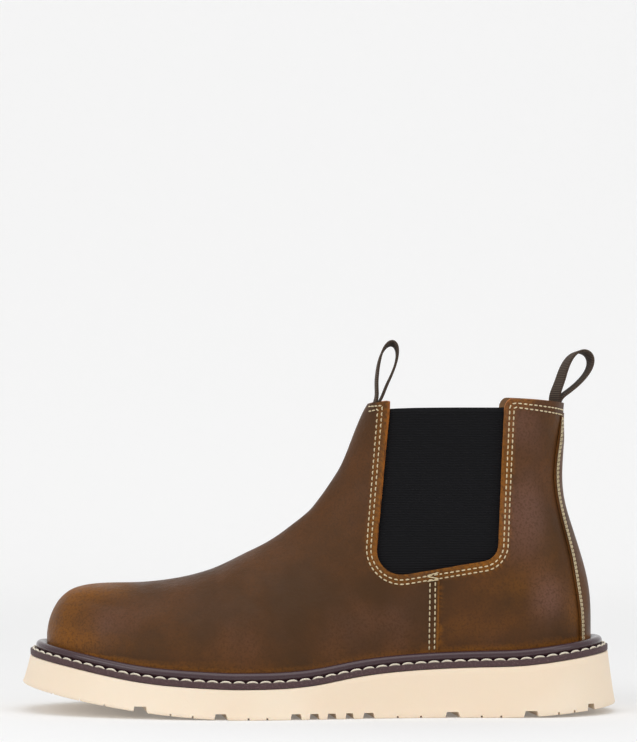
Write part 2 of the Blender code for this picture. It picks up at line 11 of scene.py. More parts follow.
import bpy
import numpy as np
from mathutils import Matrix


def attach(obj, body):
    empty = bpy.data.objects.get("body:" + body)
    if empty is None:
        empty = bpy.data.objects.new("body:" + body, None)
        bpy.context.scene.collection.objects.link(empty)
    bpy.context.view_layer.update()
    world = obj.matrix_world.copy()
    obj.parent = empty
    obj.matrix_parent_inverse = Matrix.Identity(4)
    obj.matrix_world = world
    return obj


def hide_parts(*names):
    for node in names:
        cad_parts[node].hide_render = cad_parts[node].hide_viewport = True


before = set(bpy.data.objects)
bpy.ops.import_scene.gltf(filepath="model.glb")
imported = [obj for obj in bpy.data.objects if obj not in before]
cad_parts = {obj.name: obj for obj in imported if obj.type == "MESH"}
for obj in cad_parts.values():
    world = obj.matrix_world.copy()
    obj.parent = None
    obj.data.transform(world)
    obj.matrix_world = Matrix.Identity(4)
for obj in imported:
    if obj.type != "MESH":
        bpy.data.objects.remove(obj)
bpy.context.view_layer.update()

Array = np.ndarray
Colour = tuple[float, float, float]
Socket = bpy.types.NodeSocket
Piece = bpy.types.Object
Material = bpy.types.Material
log = logging.getLogger("boot")

BODY = "root"
MM = 0.001
TINY = 1e-12              # least divisor
WELD_STEPS = 1e6          # weld() rounds places to this many steps in a metre
QUARTER_TURN = math.pi / 2


class Side(IntEnum):
    """The two sides of the foot, with the sign of y."""

    OUTER = -1
    INNER = 1


# Number helpers


def spline(knots: Array, values: Array, at: Array) -> Array:
    """Natural cubic spline: straight lines between knots plus the cubic that bends them smoothly.

    Args:
        knots: rising places of the values.
        values: values at the knots.
        at: places to read, held inside the knots.

    Returns:
        Values at the places.
    """
    knots = np.asarray(knots, float)
    values = np.asarray(values, float)
    at = np.clip(np.asarray(at, float), knots[0], knots[-1])
    step = np.diff(knots)
    slope = np.diff(values) / step
    system = np.eye(len(knots))
    bend = np.zeros(len(knots))
    for k in range(1, len(knots) - 1):
        system[k, k - 1:k + 2] = step[k - 1], 2 * (step[k - 1] + step[k]), step[k]
        bend[k] = 6 * (slope[k] - slope[k - 1])
    bend = np.linalg.solve(system, bend)
    cell = np.clip(np.searchsorted(knots, at, side="right") - 1, 0, len(step) - 1)
    width = step[cell]
    right = (at - knots[cell]) / width
    left = 1 - right
    straight = left * values[cell] + right * values[cell + 1]
    curved = (left ** 3 - left) * bend[cell] + (right ** 3 - right) * bend[cell + 1]
    return straight + curved * width ** 2 / 6


def rounding(share: Array, exponent: Array | float) -> Array:
    """Quarter of a superellipse: 0 at the edge and 1 where the share reaches 1."""
    left = 1 - np.clip(share, 0, 1)
    return (1 - left ** exponent) ** (1 / exponent)


def ease(share: Array) -> Array:
    """Smooth step from 0 to 1: three squares less two cubes."""
    share = np.clip(share, 0, 1)
    return share * share * (3 - 2 * share)


def hump(offset: Array, width: float) -> Array:
    """Bell of height 1: e to the power of minus the squared offset over the width."""
    return np.exp(-(np.asarray(offset) / width) ** 2)


def half_turn(share: Array) -> Array:
    """Share of a half turn seen from its side: one less its cosine, halved."""
    return (1 - np.cos(share * math.pi)) / 2


def unit(vectors: Array) -> Array:
    """Vectors divided by their lengths."""
    return vectors / np.maximum(np.linalg.norm(vectors, axis=-1, keepdims=True), TINY)


def lengths_along(path: Array) -> Array:
    """Length from the start of a path to each of its points."""
    steps = np.linalg.norm(np.diff(path, axis=0), axis=1)
    return np.concatenate([[0.0], np.cumsum(steps)])


def read_along(at: Array, run: Array, values: Array) -> Array:
    """Values between the points of a path, read at lengths along it, one column at a time."""
    return np.stack([np.interp(at, run, values[:, k]) for k in range(values.shape[1])], axis=-1)


def resample(path: Array, count: int) -> Array:
    """Path with the given number of points, evenly spaced along it."""
    run = lengths_along(path)
    return read_along(np.linspace(0, run[-1], count), run, path)


def offset_path(path: Array, reach: float) -> Array:
    """Plane path moved to its left by a reach: each point goes along the mean of its two normals."""
    ahead = unit(np.gradient(path, axis=0))
    return path + np.stack([-ahead[:, 1], ahead[:, 0]], axis=-1) * reach


def inside(points: Array, outline: Array) -> Array:
    """Which plane points lie in an outline, by counting the edges to the right of each.

    Args:
        points: plane points.
        outline: corners of the closed outline.

    Returns:
        True for each point inside.
    """
    x, y = points[:, :1], points[:, 1:]
    x0, y0 = outline[:, 0], outline[:, 1]
    x1, y1 = np.roll(x0, -1), np.roll(y0, -1)
    spans = (y0 > y) != (y1 > y)
    cross = x0 + (y - y0) * (x1 - x0) / np.where(y1 == y0, TINY, y1 - y0)
    return (np.sum(spans & (x < cross), axis=1) % 2) == 1


def gap_to(points: Array, path: Array) -> tuple[Array, Array]:
    """Distance from plane points to a path's nearest vertex, and that vertex."""
    gap = np.linalg.norm(points[:, None] - path[None], axis=-1)
    nearest = np.argmin(gap, axis=1)
    return gap[np.arange(len(points)), nearest], path[nearest]


# Form of the boot


@dataclass(frozen=True)
class Last:
    """Form that the boot is made on: its outline, its sections and the faces of the sole."""

    length: float = 0.2831
    ball: float = 0.094
    upper_height: float = 0.138
    back_height: float = 0.1295
    crown: float = 0.0033         # rise of the collar's edge between ridge and back
    toe_round: float = 0.24       # share of the length in which the toe closes
    toe_square: float = 2.25
    heel_radius: float = 0.034
    heel_square: float = 2.1
    reach: float = 0.0085         # of the sole's upper edge past the leather
    flare: float = 0.0039         # of its lower edge past that
    room: float = 0.0019          # for the back strip, behind the heel
    room_from: float = 0.76
    room_run: float = 0.20
    wedge: float = 0.0278
    toe_spring: float = 0.0149
    heel_spring: float = 0.0046
    flat: tuple[float, float] = (0.371, 0.816)
    upright: float = 0.10         # share of a section that stands up behind the welt
    widening: float = 0.45
    gap: float = 0.0003

    # Outline where leather meets sole: along the last; half width and centre, of the ball width
    PLAN = np.array((
        (0.00, 0.460, 0.085), (0.10, 0.465, 0.075), (0.20, 0.490, 0.045), (0.30, 0.500, 0.005),
        (0.38, 0.490, -0.018), (0.50, 0.430, -0.024), (0.60, 0.372, -0.012), (0.72, 0.340, 0.000),
        (0.86, 0.335, 0.002), (1.00, 0.335, 0.000)))

    # Sections, toe to collar: base along the last and, past 1, up the back; ridge and rise of the top
    # end; factors low and flank on the half width; roll, share that turns over to the ridge; square, its
    # exponent; lean, the ridge's place sideways; crown, share of the collar's crown
    SECTIONS = np.array((
        (0.000, 0.0000, 0.088, 1.00, 1.00, 1.00, 2.30, 0.085, 0.0),
        (0.041, 0.0046, 0.141, 1.00, 1.00, 1.00, 2.30, 0.085, 0.0),
        (0.085, 0.0166, 0.203, 1.00, 1.00, 1.00, 2.30, 0.084, 0.0),
        (0.129, 0.0389, 0.2615, 1.00, 1.00, 1.00, 2.30, 0.082, 0.0),
        (0.182, 0.0777, 0.304, 1.00, 1.00, 1.00, 2.30, 0.076, 0.0),
        (0.240, 0.1360, 0.336, 1.00, 1.00, 1.00, 2.28, 0.066, 0.0),
        (0.300, 0.2100, 0.364, 1.00, 1.00, 1.00, 2.20, 0.054, 0.0),
        (0.362, 0.2950, 0.413, 1.00, 1.00, 1.00, 2.08, 0.042, 0.0),
        (0.425, 0.3621, 0.479, 1.00, 1.02, 1.00, 1.98, 0.034, 0.0),
        (0.496, 0.3956, 0.512, 1.00, 1.05, 1.00, 1.92, 0.031, 0.0),
        (0.584, 0.4257, 0.547, 1.00, 1.11, 0.94, 1.88, 0.029, 0.0),
        (0.689, 0.4539, 0.587, 1.00, 1.10, 0.81, 1.87, 0.027, 0.0),
        (0.797, 0.4804, 0.627, 1.00, 1.05, 0.68, 1.87, 0.025, 0.0),
        (0.902, 0.5062, 0.680, 1.00, 1.01, 0.59, 1.88, 0.023, 0.0),
        (1.000, 0.5274, 0.735, 1.00, 1.00, 0.55, 1.90, 0.021, 0.0),
        (1.170, 0.5422, 0.778, 1.00, 1.00, 0.53, 1.92, 0.019, 0.0),
        (1.340, 0.5535, 0.824, 0.99, 0.99, 0.52, 1.94, 0.016, 0.0),
        (1.480, 0.5634, 0.873, 0.96, 0.96, 0.51, 1.96, 0.013, 0.0),
        (1.610, 0.5712, 0.912, 0.93, 0.93, 0.50, 1.98, 0.010, 0.0),
        (1.740, 0.5786, 0.946, 0.91, 0.92, 0.50, 2.00, 0.006, 0.1),
        (1.870, 0.5860, 0.977, 0.95, 0.96, 0.50, 2.00, 0.003, 0.4),
        (2.000, 0.5931, 1.000, 1.02, 1.02, 0.50, 2.00, 0.000, 1.0)))

    # Back line: share up the back height; how far behind the heel's foot, of the length
    BACK = np.array((
        (0.00, 0.000), (0.10, 0.000), (0.25, -0.003), (0.38, -0.0165), (0.51, -0.0353),
        (0.61, -0.0480), (0.70, -0.0522), (0.80, -0.0505), (0.90, -0.0470), (1.00, -0.0435)))

    # Wall of the sole: share along the sole; thickness, of the wedge's
    SOLE = np.array((
        (0.000, 0.542), (0.050, 0.560), (0.113, 0.556), (0.206, 0.529), (0.306, 0.542),
        (0.403, 0.547), (0.453, 0.566), (0.503, 0.626), (0.552, 0.728), (0.600, 0.805),
        (0.652, 0.857), (0.752, 0.910), (0.850, 0.941), (0.952, 0.991), (1.000, 1.000)))
    TOE_CURVE = 1.75
    HEEL_CURVE = 1.40
    FIRST_PLACE = 8.5             # locate() searches from this row of SECTIONS up to the collar
    SEARCHES = 34
    SMALL_STEP = 1e-3             # of a row or a share, for slopes

    @property
    def sole_length(self) -> float:
        """Length of the outsole."""
        return self.length + 2 * (self.reach + self.flare) + self.room

    @property
    def toe_x(self) -> float:
        """Front tip of the leather."""
        return -self.sole_length / 2 + self.reach + self.flare

    @property
    def heel_x(self) -> float:
        """Back of the leather at the sole."""
        return self.toe_x + self.length

    @property
    def top_place(self) -> float:
        """Last row of SECTIONS, which is the collar."""
        return len(self.SECTIONS) - 1.0

    def share(self, x: Array) -> Array:
        """Share along the sole of a place x."""
        return (np.asarray(x, float) + self.sole_length / 2) / self.sole_length

    def underside(self, x: Array) -> Array:
        """Height of the sole's underside: flat, with a power curve up to the toe and to the heel."""
        start, end = self.flat
        toe = np.clip((start - self.share(x)) / start, 0, None)
        heel = np.clip((self.share(x) - end) / (1 - end), 0, None)
        return self.toe_spring * toe ** self.TOE_CURVE + self.heel_spring * heel ** self.HEEL_CURVE

    def sole_top(self, x: Array) -> Array:
        """Height of the sole's upper face: the underside plus the wedge's thickness there."""
        return self.underside(x) + self.wedge * spline(*self.SOLE.T, self.share(x))

    def plan(self, along: Array) -> tuple[Array, Array]:
        """Half width, without the heel's rounding, and centre of the outline."""
        knots, half, centre = self.PLAN.T
        toe = rounding(along / self.toe_round, self.toe_square)
        return spline(knots, half, along) * self.ball * toe, spline(knots, centre, along) * self.ball

    def foot_share(self, place: Array) -> Array:
        """Share along the last of the foot of a section: its base as a half turn seen from its side."""
        base = spline(np.arange(len(self.SECTIONS)), self.SECTIONS[:, 0], place)
        return half_turn(np.clip(base, 0, 1))

    def surface(self, place: Array, g: Array, side: Array | float) -> Array:
        """Point on the outside of the leather.

        A section is a straight line in the side view, from its base on the sole or back line to its
        front or top end.  Half the width is laid off across it: the outline's half width, times a
        superellipse that closes at the ridge, times another that closes round the heel.

        Args:
            place: place along the sections, counted in rows of SECTIONS.
            g: share from the section's base to its ridge.
            side: -1 for the outer side of the foot, 1 for the inner side, 0 for the middle.

        Returns:
            Points, with x, y and z on the last axis.
        """
        place = np.clip(np.asarray(place, float), 0, self.top_place)
        rows = np.arange(len(self.SECTIONS))
        base, ridge, rise, low, flank, roll, square, lean, crown = (
            spline(rows, column, place) for column in self.SECTIONS.T)
        foot = half_turn(np.clip(base, 0, 1))
        up = 1 - np.cos(np.clip(base - 1, 0, 1) * QUARTER_TURN)
        base_x = self.toe_x + (foot + spline(*self.BACK.T, up)) * self.length
        base_z = self.sole_top(self.toe_x + foot * self.length) + self.gap + up * self.back_height
        ridge_x = self.toe_x + ridge * self.length
        ridge_z = self.sole_top(ridge_x) + self.gap + rise * self.upper_height
        half, centre = self.plan(foot)
        bowed = np.sqrt(np.sin(math.pi * np.clip(g, 0, 1)))
        x = base_x + (ridge_x - base_x) * g
        z = base_z + (ridge_z - base_z) * g + crown * self.crown * bowed
        width = half * (low + (flank - low) * ease((g - self.upright) / self.widening))
        width = width * rounding((1 - g) / roll, square)
        behind = (1 - foot) * self.length - (ridge_x - base_x) * g
        width = width * rounding(behind / self.heel_radius, self.heel_square)
        y = centre * (1 - g) + lean * self.ball * g + side * width
        return np.stack(np.broadcast_arrays(x, y, z), axis=-1)

    def locate(self, x: Array, z: Array) -> tuple[Array, Array]:
        """Section place and share along it of points seen from the side.

        The section's height over x rises with its place, so halving the range finds it.

        Args:
            x: places along the boot, behind the ball.
            z: heights.

        Returns:
            Place and share along the section.
        """
        x, z = np.broadcast_arrays(np.asarray(x, float), np.asarray(z, float))
        low = np.full(x.shape, self.FIRST_PLACE)
        high = np.full(x.shape, self.top_place)
        for _ in range(self.SEARCHES):
            middle = (low + high) / 2
            start = self.surface(middle, 0.0, 0.0)
            end = self.surface(middle, 1.0, 0.0)
            g = (x - start[..., 0]) / (end[..., 0] - start[..., 0])
            below = self.surface(middle, g, 0.0)[..., 2] < z
            low = np.where(below, middle, low)
            high = np.where(below, high, middle)
        return middle, g

    def normal(self, place: Array, g: Array, side: Side) -> Array:
        """Outward direction: the cross product of small steps along g and along the sections.

        Args:
            place: place along the sections.
            g: share from the section's base to its ridge.
            side: side of the foot.

        Returns:
            Directions of length 1.
        """
        small = self.SMALL_STEP
        g = np.clip(g, small, 1 - small)
        across = self.surface(place, g + small, side) - self.surface(place, g - small, side)
        place = np.clip(place, small, self.top_place - small)
        along = self.surface(place + small, g, side) - self.surface(place - small, g, side)
        return unit(np.cross(across, along) * side)

    def on_side(self, x: Array, z: Array, side: Side) -> tuple[Array, Array]:
        """Points of the leather over places of the side view, and their outward directions."""
        place, g = self.locate(x, z)
        g = np.clip(g, 0, 1)
        return self.surface(place, g, side), self.normal(place, g, side)

    def ring(self, offset: float, stations: int = 160) -> Array:
        """Plan outline round the sole, moved out by an offset.

        Each point goes out along the mean of its two edge normals, lengthened so that both edges
        move by the offset.  The outline steps out by the room for the back strip at the heel.

        Args:
            offset: distance from the outside of the leather.
            stations: stations from toe to heel.

        Returns:
            Plane points, toe tip first and outer side next.
        """
        foot = half_turn(np.linspace(0, 1, stations + 1))
        half, centre = self.plan(foot)
        half = half * rounding((1 - foot) * self.length / self.heel_radius, self.heel_square)
        x = self.toe_x + foot * self.length
        outer = np.stack([x, centre - half], axis=-1)
        inner = np.stack([x, centre + half], axis=-1)
        ring = np.concatenate([outer, inner[-2:0:-1]])
        share = np.concatenate([foot, foot[-2:0:-1]])
        ahead = unit(np.roll(ring, -1, axis=0) - ring)
        across = np.stack([ahead[:, 1], -ahead[:, 0]], axis=-1)
        middle = unit(across + np.roll(across, 1, axis=0))
        mitre = 1 / np.sum(middle * across, axis=1)
        reach = offset + self.room * ease((share - self.room_from) / self.room_run)
        return ring + middle * (mitre * reach)[:, None]


LAST = Last()


# Meshes


def volume(points: Array, faces: list) -> float:
    """Volume inside the faces: each is a fan of triangles from its first corner."""
    fans = np.array([(f[0], f[k], f[k + 1]) for f in faces for k in range(1, len(f) - 1)])
    a, b, c = (points[fans[:, k]] for k in range(3))
    return float(np.sum(a * np.cross(b, c)) / 6)


def place_in_scene(item: bpy.types.Object) -> None:
    """Put an object into the scene."""
    bpy.context.scene.collection.objects.link(item)


def new_piece(name: str, points: Array, faces: Array | list, sharp: float = 35.0,
              replaces: tuple[str, ...] = (), kinds: Array | None = None) -> Piece:
    """Closed object from points and faces that rides on the boot's one body.

    Args:
        name: plain name of the piece.
        points: corner places, in metres.
        faces: corners of each face, by number, all turned the same way.
        sharp: angle in degrees above which an edge is shaded sharp.
        replaces: nodes of the part that this piece stands for.
        kinds: number of each face's material, or none for the first.

    Returns:
        The object, with smooth shading and outward faces.
    """
    listed = faces.tolist() if isinstance(faces, Array) else faces
    listed = [list(dict.fromkeys(face)) for face in listed]
    whole = np.array([len(face) > 2 for face in listed])
    listed = [face for face in listed if len(face) > 2]
    if volume(points, listed) < 0:
        listed = [face[::-1] for face in listed]
    mesh = bpy.data.meshes.new(name)
    mesh.from_pydata(points.tolist(), [], listed)
    if kinds is not None:
        mesh.polygons.foreach_set("material_index", np.asarray(kinds, np.int32)[whole])
    mesh.shade_smooth()
    mesh.set_sharp_from_angle(angle=math.radians(sharp))
    item = bpy.data.objects.new(name, mesh)
    place_in_scene(item)
    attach(item, BODY)
    if replaces:
        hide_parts(*replaces)
    log.info("%s: %d faces", name, len(mesh.polygons))
    return item


def weld(points: Array, faces: Array) -> tuple[Array, Array]:
    """Join points that lie in the same place."""
    keys = np.round(points * WELD_STEPS).astype(np.int64)
    _, first, shared = np.unique(keys, axis=0, return_index=True, return_inverse=True)
    return points[first], shared.reshape(-1)[faces]


def grid_faces(rows: int, columns: int, close_rows: bool = False,
               close_columns: bool = False) -> Array:
    """Four-cornered faces of a grid of points, as an array of corner numbers.

    Args:
        rows: rows of points.
        columns: points in a row.
        close_rows: join the last row to the first.
        close_columns: join each row's last point to its first.

    Returns:
        Faces, one to a line.
    """
    r = np.arange(rows if close_rows else rows - 1)[:, None]
    c = np.arange(columns if close_columns else columns - 1)[None, :]
    below, beside = (r + 1) % rows, (c + 1) % columns
    corners = (r * columns + c, below * columns + c, below * columns + beside, r * columns + beside)
    return np.stack(np.broadcast_arrays(*corners), axis=-1).reshape(-1, 4)


def vertex_normals(points: Array, faces: Array) -> Array:
    """Normal of each point: the sum of its faces' area vectors, divided by its length."""
    a, b, c, d = (points[faces[:, k]] for k in range(4))
    area = np.cross(c - a, d - b)
    total = np.zeros_like(points)
    for k in range(4):
        np.add.at(total, faces[:, k], area)
    return unit(total)


def facing_away(points: Array, faces: Array) -> Array:
    """Faces turned so that they look away from the boot's middle plane."""
    looks = np.sum(vertex_normals(points, faces)[:, 1] * points[:, 1])
    return faces if looks > 0 else faces[:, ::-1]


def rim_faces(faces: Array, count: int) -> Array:
    """Faces that close a wall: one for each open edge of its outer face.

    An edge is open where no other face has it in the opposite direction.

    Args:
        faces: outer faces.
        count: how many numbers later each point's inner copy stands.

    Returns:
        Four-cornered faces.
    """
    start = faces.reshape(-1).astype(np.int64)
    end = np.roll(faces, -1, axis=1).reshape(-1).astype(np.int64)
    forward = start * (count + 1) + end
    backward = end * (count + 1) + start
    open_edge = ~np.isin(forward, backward) & (start != end)
    a, b = start[open_edge], end[open_edge]
    return np.stack([b, a, a + count, b + count], axis=-1)


def walled(points: Array, faces: Array, outer: Array | float,
           inner: float) -> tuple[Array, Array, Array]:
    """Wall on a sheet, its two faces at given distances from the sheet along its normals.

    Args:
        points: sheet points, welded.
        faces: sheet faces, facing outwards.
        outer: distance of the outer face.
        inner: distance of the inner face, negative below the sheet.

    Returns:
        Points, faces and each face's kind: 0 outside, 1 rim, 2 inside.
    """
    out = vertex_normals(points, faces)
    outside = points + out * np.broadcast_to(outer, len(points))[:, None]
    both = np.concatenate([outside, points + out * inner])
    rim = rim_faces(faces, len(points))
    all_faces = np.concatenate([faces, rim, faces[:, ::-1] + len(points)])
    kinds = np.repeat([0, 1, 2], [len(faces), len(rim), len(faces)])
    return both, all_faces, kinds


def set_values(item: Piece, name: str, values: Array) -> None:
    """Store one number for each point of a piece under a name."""
    attribute = item.data.attributes.new(name, "FLOAT", "POINT")
    attribute.data.foreach_set("value", np.asarray(values, np.float32))


def set_uv(item: Piece, uv: Array) -> None:
    """Give a piece a UV map from one plane place for each of its points."""
    corners = np.empty(len(item.data.loops), np.int32)
    item.data.loops.foreach_get("vertex_index", corners)
    layer = item.data.uv_layers.new(name="UVMap")
    layer.data.foreach_set("uv", uv[corners].astype(np.float32).ravel())


def rounded_bar(width: float, thick: float, corner: float, steps: int = 3) -> Array:
    """Closed profile of a flat bar, its middle at the origin: a quarter circle at each corner.

    Args:
        width: long side.
        thick: short side.
        corner: radius of the corners.
        steps: straight steps round a corner.

    Returns:
        Plane points.
    """
    turn = np.linspace(0, QUARTER_TURN, steps + 1)
    parts = []
    for k, (sx, sy) in enumerate(((1, 1), (-1, 1), (-1, -1), (1, -1))):
        angle = turn + k * QUARTER_TURN
        middle = np.array((sx * (width / 2 - corner), sy * (thick / 2 - corner)))
        parts.append(middle + corner * np.stack([np.cos(angle), np.sin(angle)], axis=-1))
    return np.concatenate(parts)


# Finishes


@dataclass(frozen=True)
class Clouds:
    """Noise pattern: clouds to a metre, finer layers over them, and how strong those are."""

    scale: float
    layers: float = 3.0
    rough: float = 0.55


@dataclass(frozen=True)
class Ramp:
    """Range of a number that is mapped smoothly to another range."""

    low: float
    high: float
    to_low: float = 0.0
    to_high: float = 1.0


@dataclass(frozen=True)
class Relief:
    """Bump: its height in metres and its share of that."""

    height: float
    strength: float


class Shader:
    """Material with short ways to add and join its nodes."""

    def __init__(self, name: str) -> None:
        """Start a material with one surface shader."""
        self.material = bpy.data.materials.new(name)
        self.material.use_nodes = True
        self.tree = self.material.node_tree
        self.surface = self.tree.nodes["Principled BSDF"]

    def node(self, kind: str, inputs: dict | None = None, **settings: str) -> bpy.types.Node:
        """Add a node, set its options and give or join its inputs.

        Args:
            kind: the node's type name.
            inputs: value or output socket for each input, by name or number.
            **settings: the node's own options.

        Returns:
            The node.
        """
        node = self.tree.nodes.new(kind)
        for key, value in settings.items():
            setattr(node, key, value)
        for key, value in (inputs or {}).items():
            self.give(node.inputs[key], value)
        return node

    def give(self, socket: Socket, value: Socket | float | tuple) -> None:
        """Join an output to an input, or set the input's own value."""
        if isinstance(value, bpy.types.NodeSocket):
            self.tree.links.new(value, socket)
        else:
            socket.default_value = value

    def base(self, **values: Socket | float | tuple) -> None:
        """Set or join inputs of the surface shader; underscores stand for spaces."""
        for key, value in values.items():
            self.give(self.surface.inputs[key.replace("_", " ")], value)

    def stretched(self, source: str, stretch: tuple[float, float, float]) -> Socket:
        """One kind of coordinates, stretched along each axis."""
        coordinates = self.node("ShaderNodeTexCoord").outputs[source]
        return self.node("ShaderNodeMapping", {0: coordinates, "Scale": stretch}).outputs[0]

    def place(self, stretch: tuple[float, float, float] = (1, 1, 1)) -> Socket:
        """Object coordinates, stretched along each axis."""
        return self.stretched("Object", stretch)

    def chart(self, stretch: tuple[float, float, float] = (1, 1, 1)) -> Socket:
        """The piece's own UV map, stretched along each axis."""
        return self.stretched("UV", stretch)

    def value(self, name: str) -> Socket:
        """A number stored on the piece's points."""
        return self.node("ShaderNodeAttribute", attribute_name=name).outputs["Fac"]

    def noise(self, vector: Socket, clouds: Clouds) -> Socket:
        """Cloudy noise from 0 to 1."""
        return self.node("ShaderNodeTexNoise", {
            "Vector": vector, "Scale": clouds.scale, "Detail": clouds.layers,
            "Roughness": clouds.rough}).outputs[0]

    def bands(self, vector: Socket, scale: float, direction: str, waver: float = 0.0) -> Socket:
        """Straight bands from 0 to 1 across a direction, shaken by a waver."""
        return self.node("ShaderNodeTexWave", {"Vector": vector, "Scale": scale, "Distortion": waver},
                         bands_direction=direction).outputs["Fac"]

    def pores(self, vector: Socket, scale: float) -> Socket:
        """Distance to the nearest of scattered points."""
        return self.node("ShaderNodeTexVoronoi", {"Vector": vector, "Scale": scale}).outputs[0]

    def join(self, operation: str, first: Socket | float, second: Socket | float) -> Socket:
        """One sum on two numbers."""
        return self.node("ShaderNodeMath", {0: first, 1: second}, operation=operation).outputs[0]

    def spread(self, value: Socket, ramp: Ramp) -> Socket:
        """Map a range of a number smoothly to another range."""
        inputs = {0: value, 1: ramp.low, 2: ramp.high, 3: ramp.to_low, 4: ramp.to_high}
        return self.node("ShaderNodeMapRange", inputs, interpolation_type="SMOOTHSTEP").outputs[0]

    def mix(self, factor: Socket, first: Socket | Colour, second: Socket | Colour) -> Socket:
        """Mix two colours.

        Args:
            factor: share of the second.
            first: colour or output where the factor is 0.
            second: colour or output where it is 1.

        Returns:
            The mixed colour.
        """
        node = self.node("ShaderNodeMix", data_type="RGBA")
        self.give(node.inputs["Factor"], factor)
        for socket, value in ((node.inputs[6], first), (node.inputs[7], second)):
            self.give(socket, value if isinstance(value, bpy.types.NodeSocket) else (*value, 1.0))
        return node.outputs[2]

    def bump(self, pattern: Socket, relief: Relief, under: Socket | None = None) -> Socket:
        """Bump of a pattern, over another bump if one is given.

        Args:
            pattern: number that is 1 where the bump is highest.
            relief: its height and strength.
            under: bump that it lies over.

        Returns:
            The bumped direction.
        """
        inputs = {"Height": pattern, "Distance": relief.height, "Strength": relief.strength}
        if under is not None:
            inputs["Normal"] = under
        return self.node("ShaderNodeBump", inputs).outputs[0]


def srgb(red: int, green: int, blue: int) -> Colour:
    """Screen colour from 0 to 255 as light, by the standard screen curve."""
    share = np.array((red, green, blue)) / 255
    light = np.where(share <= 0.04045, share / 12.92, ((share + 0.055) / 1.055) ** 2.4)
    return tuple(light.tolist())


@dataclass(frozen=True)
class OiledLeather:
    """Waxed brown leather that lightens to orange-brown where it is stretched or rubbed, with pale
    painted sheen over it.
    """

    name: str = "oiled_leather"
    brown: Colour = srgb(89, 55, 27)
    dark: Colour = srgb(70, 46, 25)
    amber: Colour = srgb(138, 85, 26)
    # painted sheen: pale purple-grey colour that stands in for soft highlights, in random clouds and
    # placed patches
    sheen_colour: Colour = srgb(124, 88, 76)
    clouds: Clouds = Clouds(22.0, 4.0, 0.55)
    clouded: Ramp = Ramp(0.35, 0.68)
    mottle: Clouds = Clouds(95.0, 5.0, 0.62)
    mottled: float = 0.42
    rubbed: Ramp = Ramp(0.10, 1.00)
    sheen_clouds: Clouds = Clouds(34.0, 3.0, 0.5)
    sheen_clouds_share: float = 0.6
    sheen_patch_share: float = 0.4
    sheen_ramp: Ramp = Ramp(0.26, 0.80, 0.0, 0.52)
    specks: Clouds = Clouds(900.0, 3.0, 0.6)
    specked: Ramp = Ramp(0.44, 0.66, 0.0, 0.55)
    roughness: Ramp = Ramp(0.25, 0.75, 0.36, 0.56)
    gloss: float = 0.13
    pore_scale: float = 1500.0
    pore_relief: Relief = Relief(0.00006, 0.55)
    pebbles: Clouds = Clouds(420.0, 4.0, 0.6)
    pebble_relief: Relief = Relief(0.00050, 0.50)
    mottle_relief: Relief = Relief(0.0012, 0.20)

    def colour(self, s: Shader, place: Socket, mottle: Socket) -> Socket:
        """Brown and dark clouds, amber where rubbed, paler where painted sheen lies, then dark specks.

        Args:
            s: the material.
            place: object coordinates.
            mottle: noise that frays the rubbed patches.

        Returns:
            The colour.
        """
        colour = s.mix(s.spread(s.noise(place, self.clouds), self.clouded), self.dark, self.brown)
        frayed = s.join("MULTIPLY", s.join("SUBTRACT", mottle, 0.5), self.mottled)
        worn = s.join("ADD", s.value("burnish"), frayed)
        colour = s.mix(s.spread(worn, self.rubbed), colour, self.amber)
        # painted sheen: random clouds plus the placed sheen patches, mixed toward the pale sheen colour
        sheen_clouds = s.join("MULTIPLY", s.noise(s.place((1, 1, 0.6)), self.sheen_clouds), self.sheen_clouds_share)
        sheen_mask = s.join("ADD", sheen_clouds, s.join("MULTIPLY", s.value("painted_sheen"), self.sheen_patch_share))
        colour = s.mix(s.spread(sheen_mask, self.sheen_ramp), colour, self.sheen_colour)
        return s.mix(s.spread(s.noise(place, self.specks), self.specked), colour, self.dark)

    def material(self) -> Material:
        """Clouded colour over pores, pebbles and a wide soft mottle."""
        s = Shader(self.name)
        place = s.place()
        mottle = s.noise(place, self.mottle)
        pores = s.bump(s.pores(place, self.pore_scale), self.pore_relief)
        pebbles = s.bump(s.noise(place, self.pebbles), self.pebble_relief, pores)
        s.base(Base_Color=self.colour(s, place, mottle), Roughness=s.spread(mottle, self.roughness),
               Specular_IOR_Level=self.gloss, Normal=s.bump(mottle, self.mottle_relief, pebbles))
        return s.material


@dataclass(frozen=True)
class TwoTone:
    """Finish of two tones in clouds with a fine relief: cut leather, plain hide or board."""

    name: str
    light: Colour
    shade: Colour
    clouds: Clouds
    clouded: Ramp
    nap: Clouds
    relief: Relief
    roughness: float

    def material(self) -> Material:
        """Light and shade in soft clouds, with the nap as a bump."""
        s = Shader(self.name)
        place = s.place()
        tone = s.spread(s.noise(place, self.clouds), self.clouded)
        s.base(Base_Color=s.mix(tone, self.light, self.shade), Roughness=self.roughness,
               Normal=s.bump(s.noise(place, self.nap), self.relief))
        return s.material


CUT_EDGE = TwoTone(
    "cut_edge", srgb(176, 102, 28), srgb(92, 52, 20), Clouds(160.0), Ramp(0.42, 0.72),
    Clouds(900.0), Relief(0.0002, 0.5), roughness=0.75)
LINING = TwoTone(
    "lining", srgb(150, 112, 74), srgb(126, 92, 60), Clouds(60.0, 4.0), Ramp(0.35, 0.7),
    Clouds(1400.0, 2.0), Relief(0.0001, 0.5), roughness=0.85)
INSOLE_BOARD = TwoTone(
    "insole_board", srgb(176, 138, 96), srgb(150, 114, 76), Clouds(60.0, 4.0), Ramp(0.35, 0.7),
    Clouds(1400.0, 2.0), Relief(0.0001, 0.5), roughness=0.85)


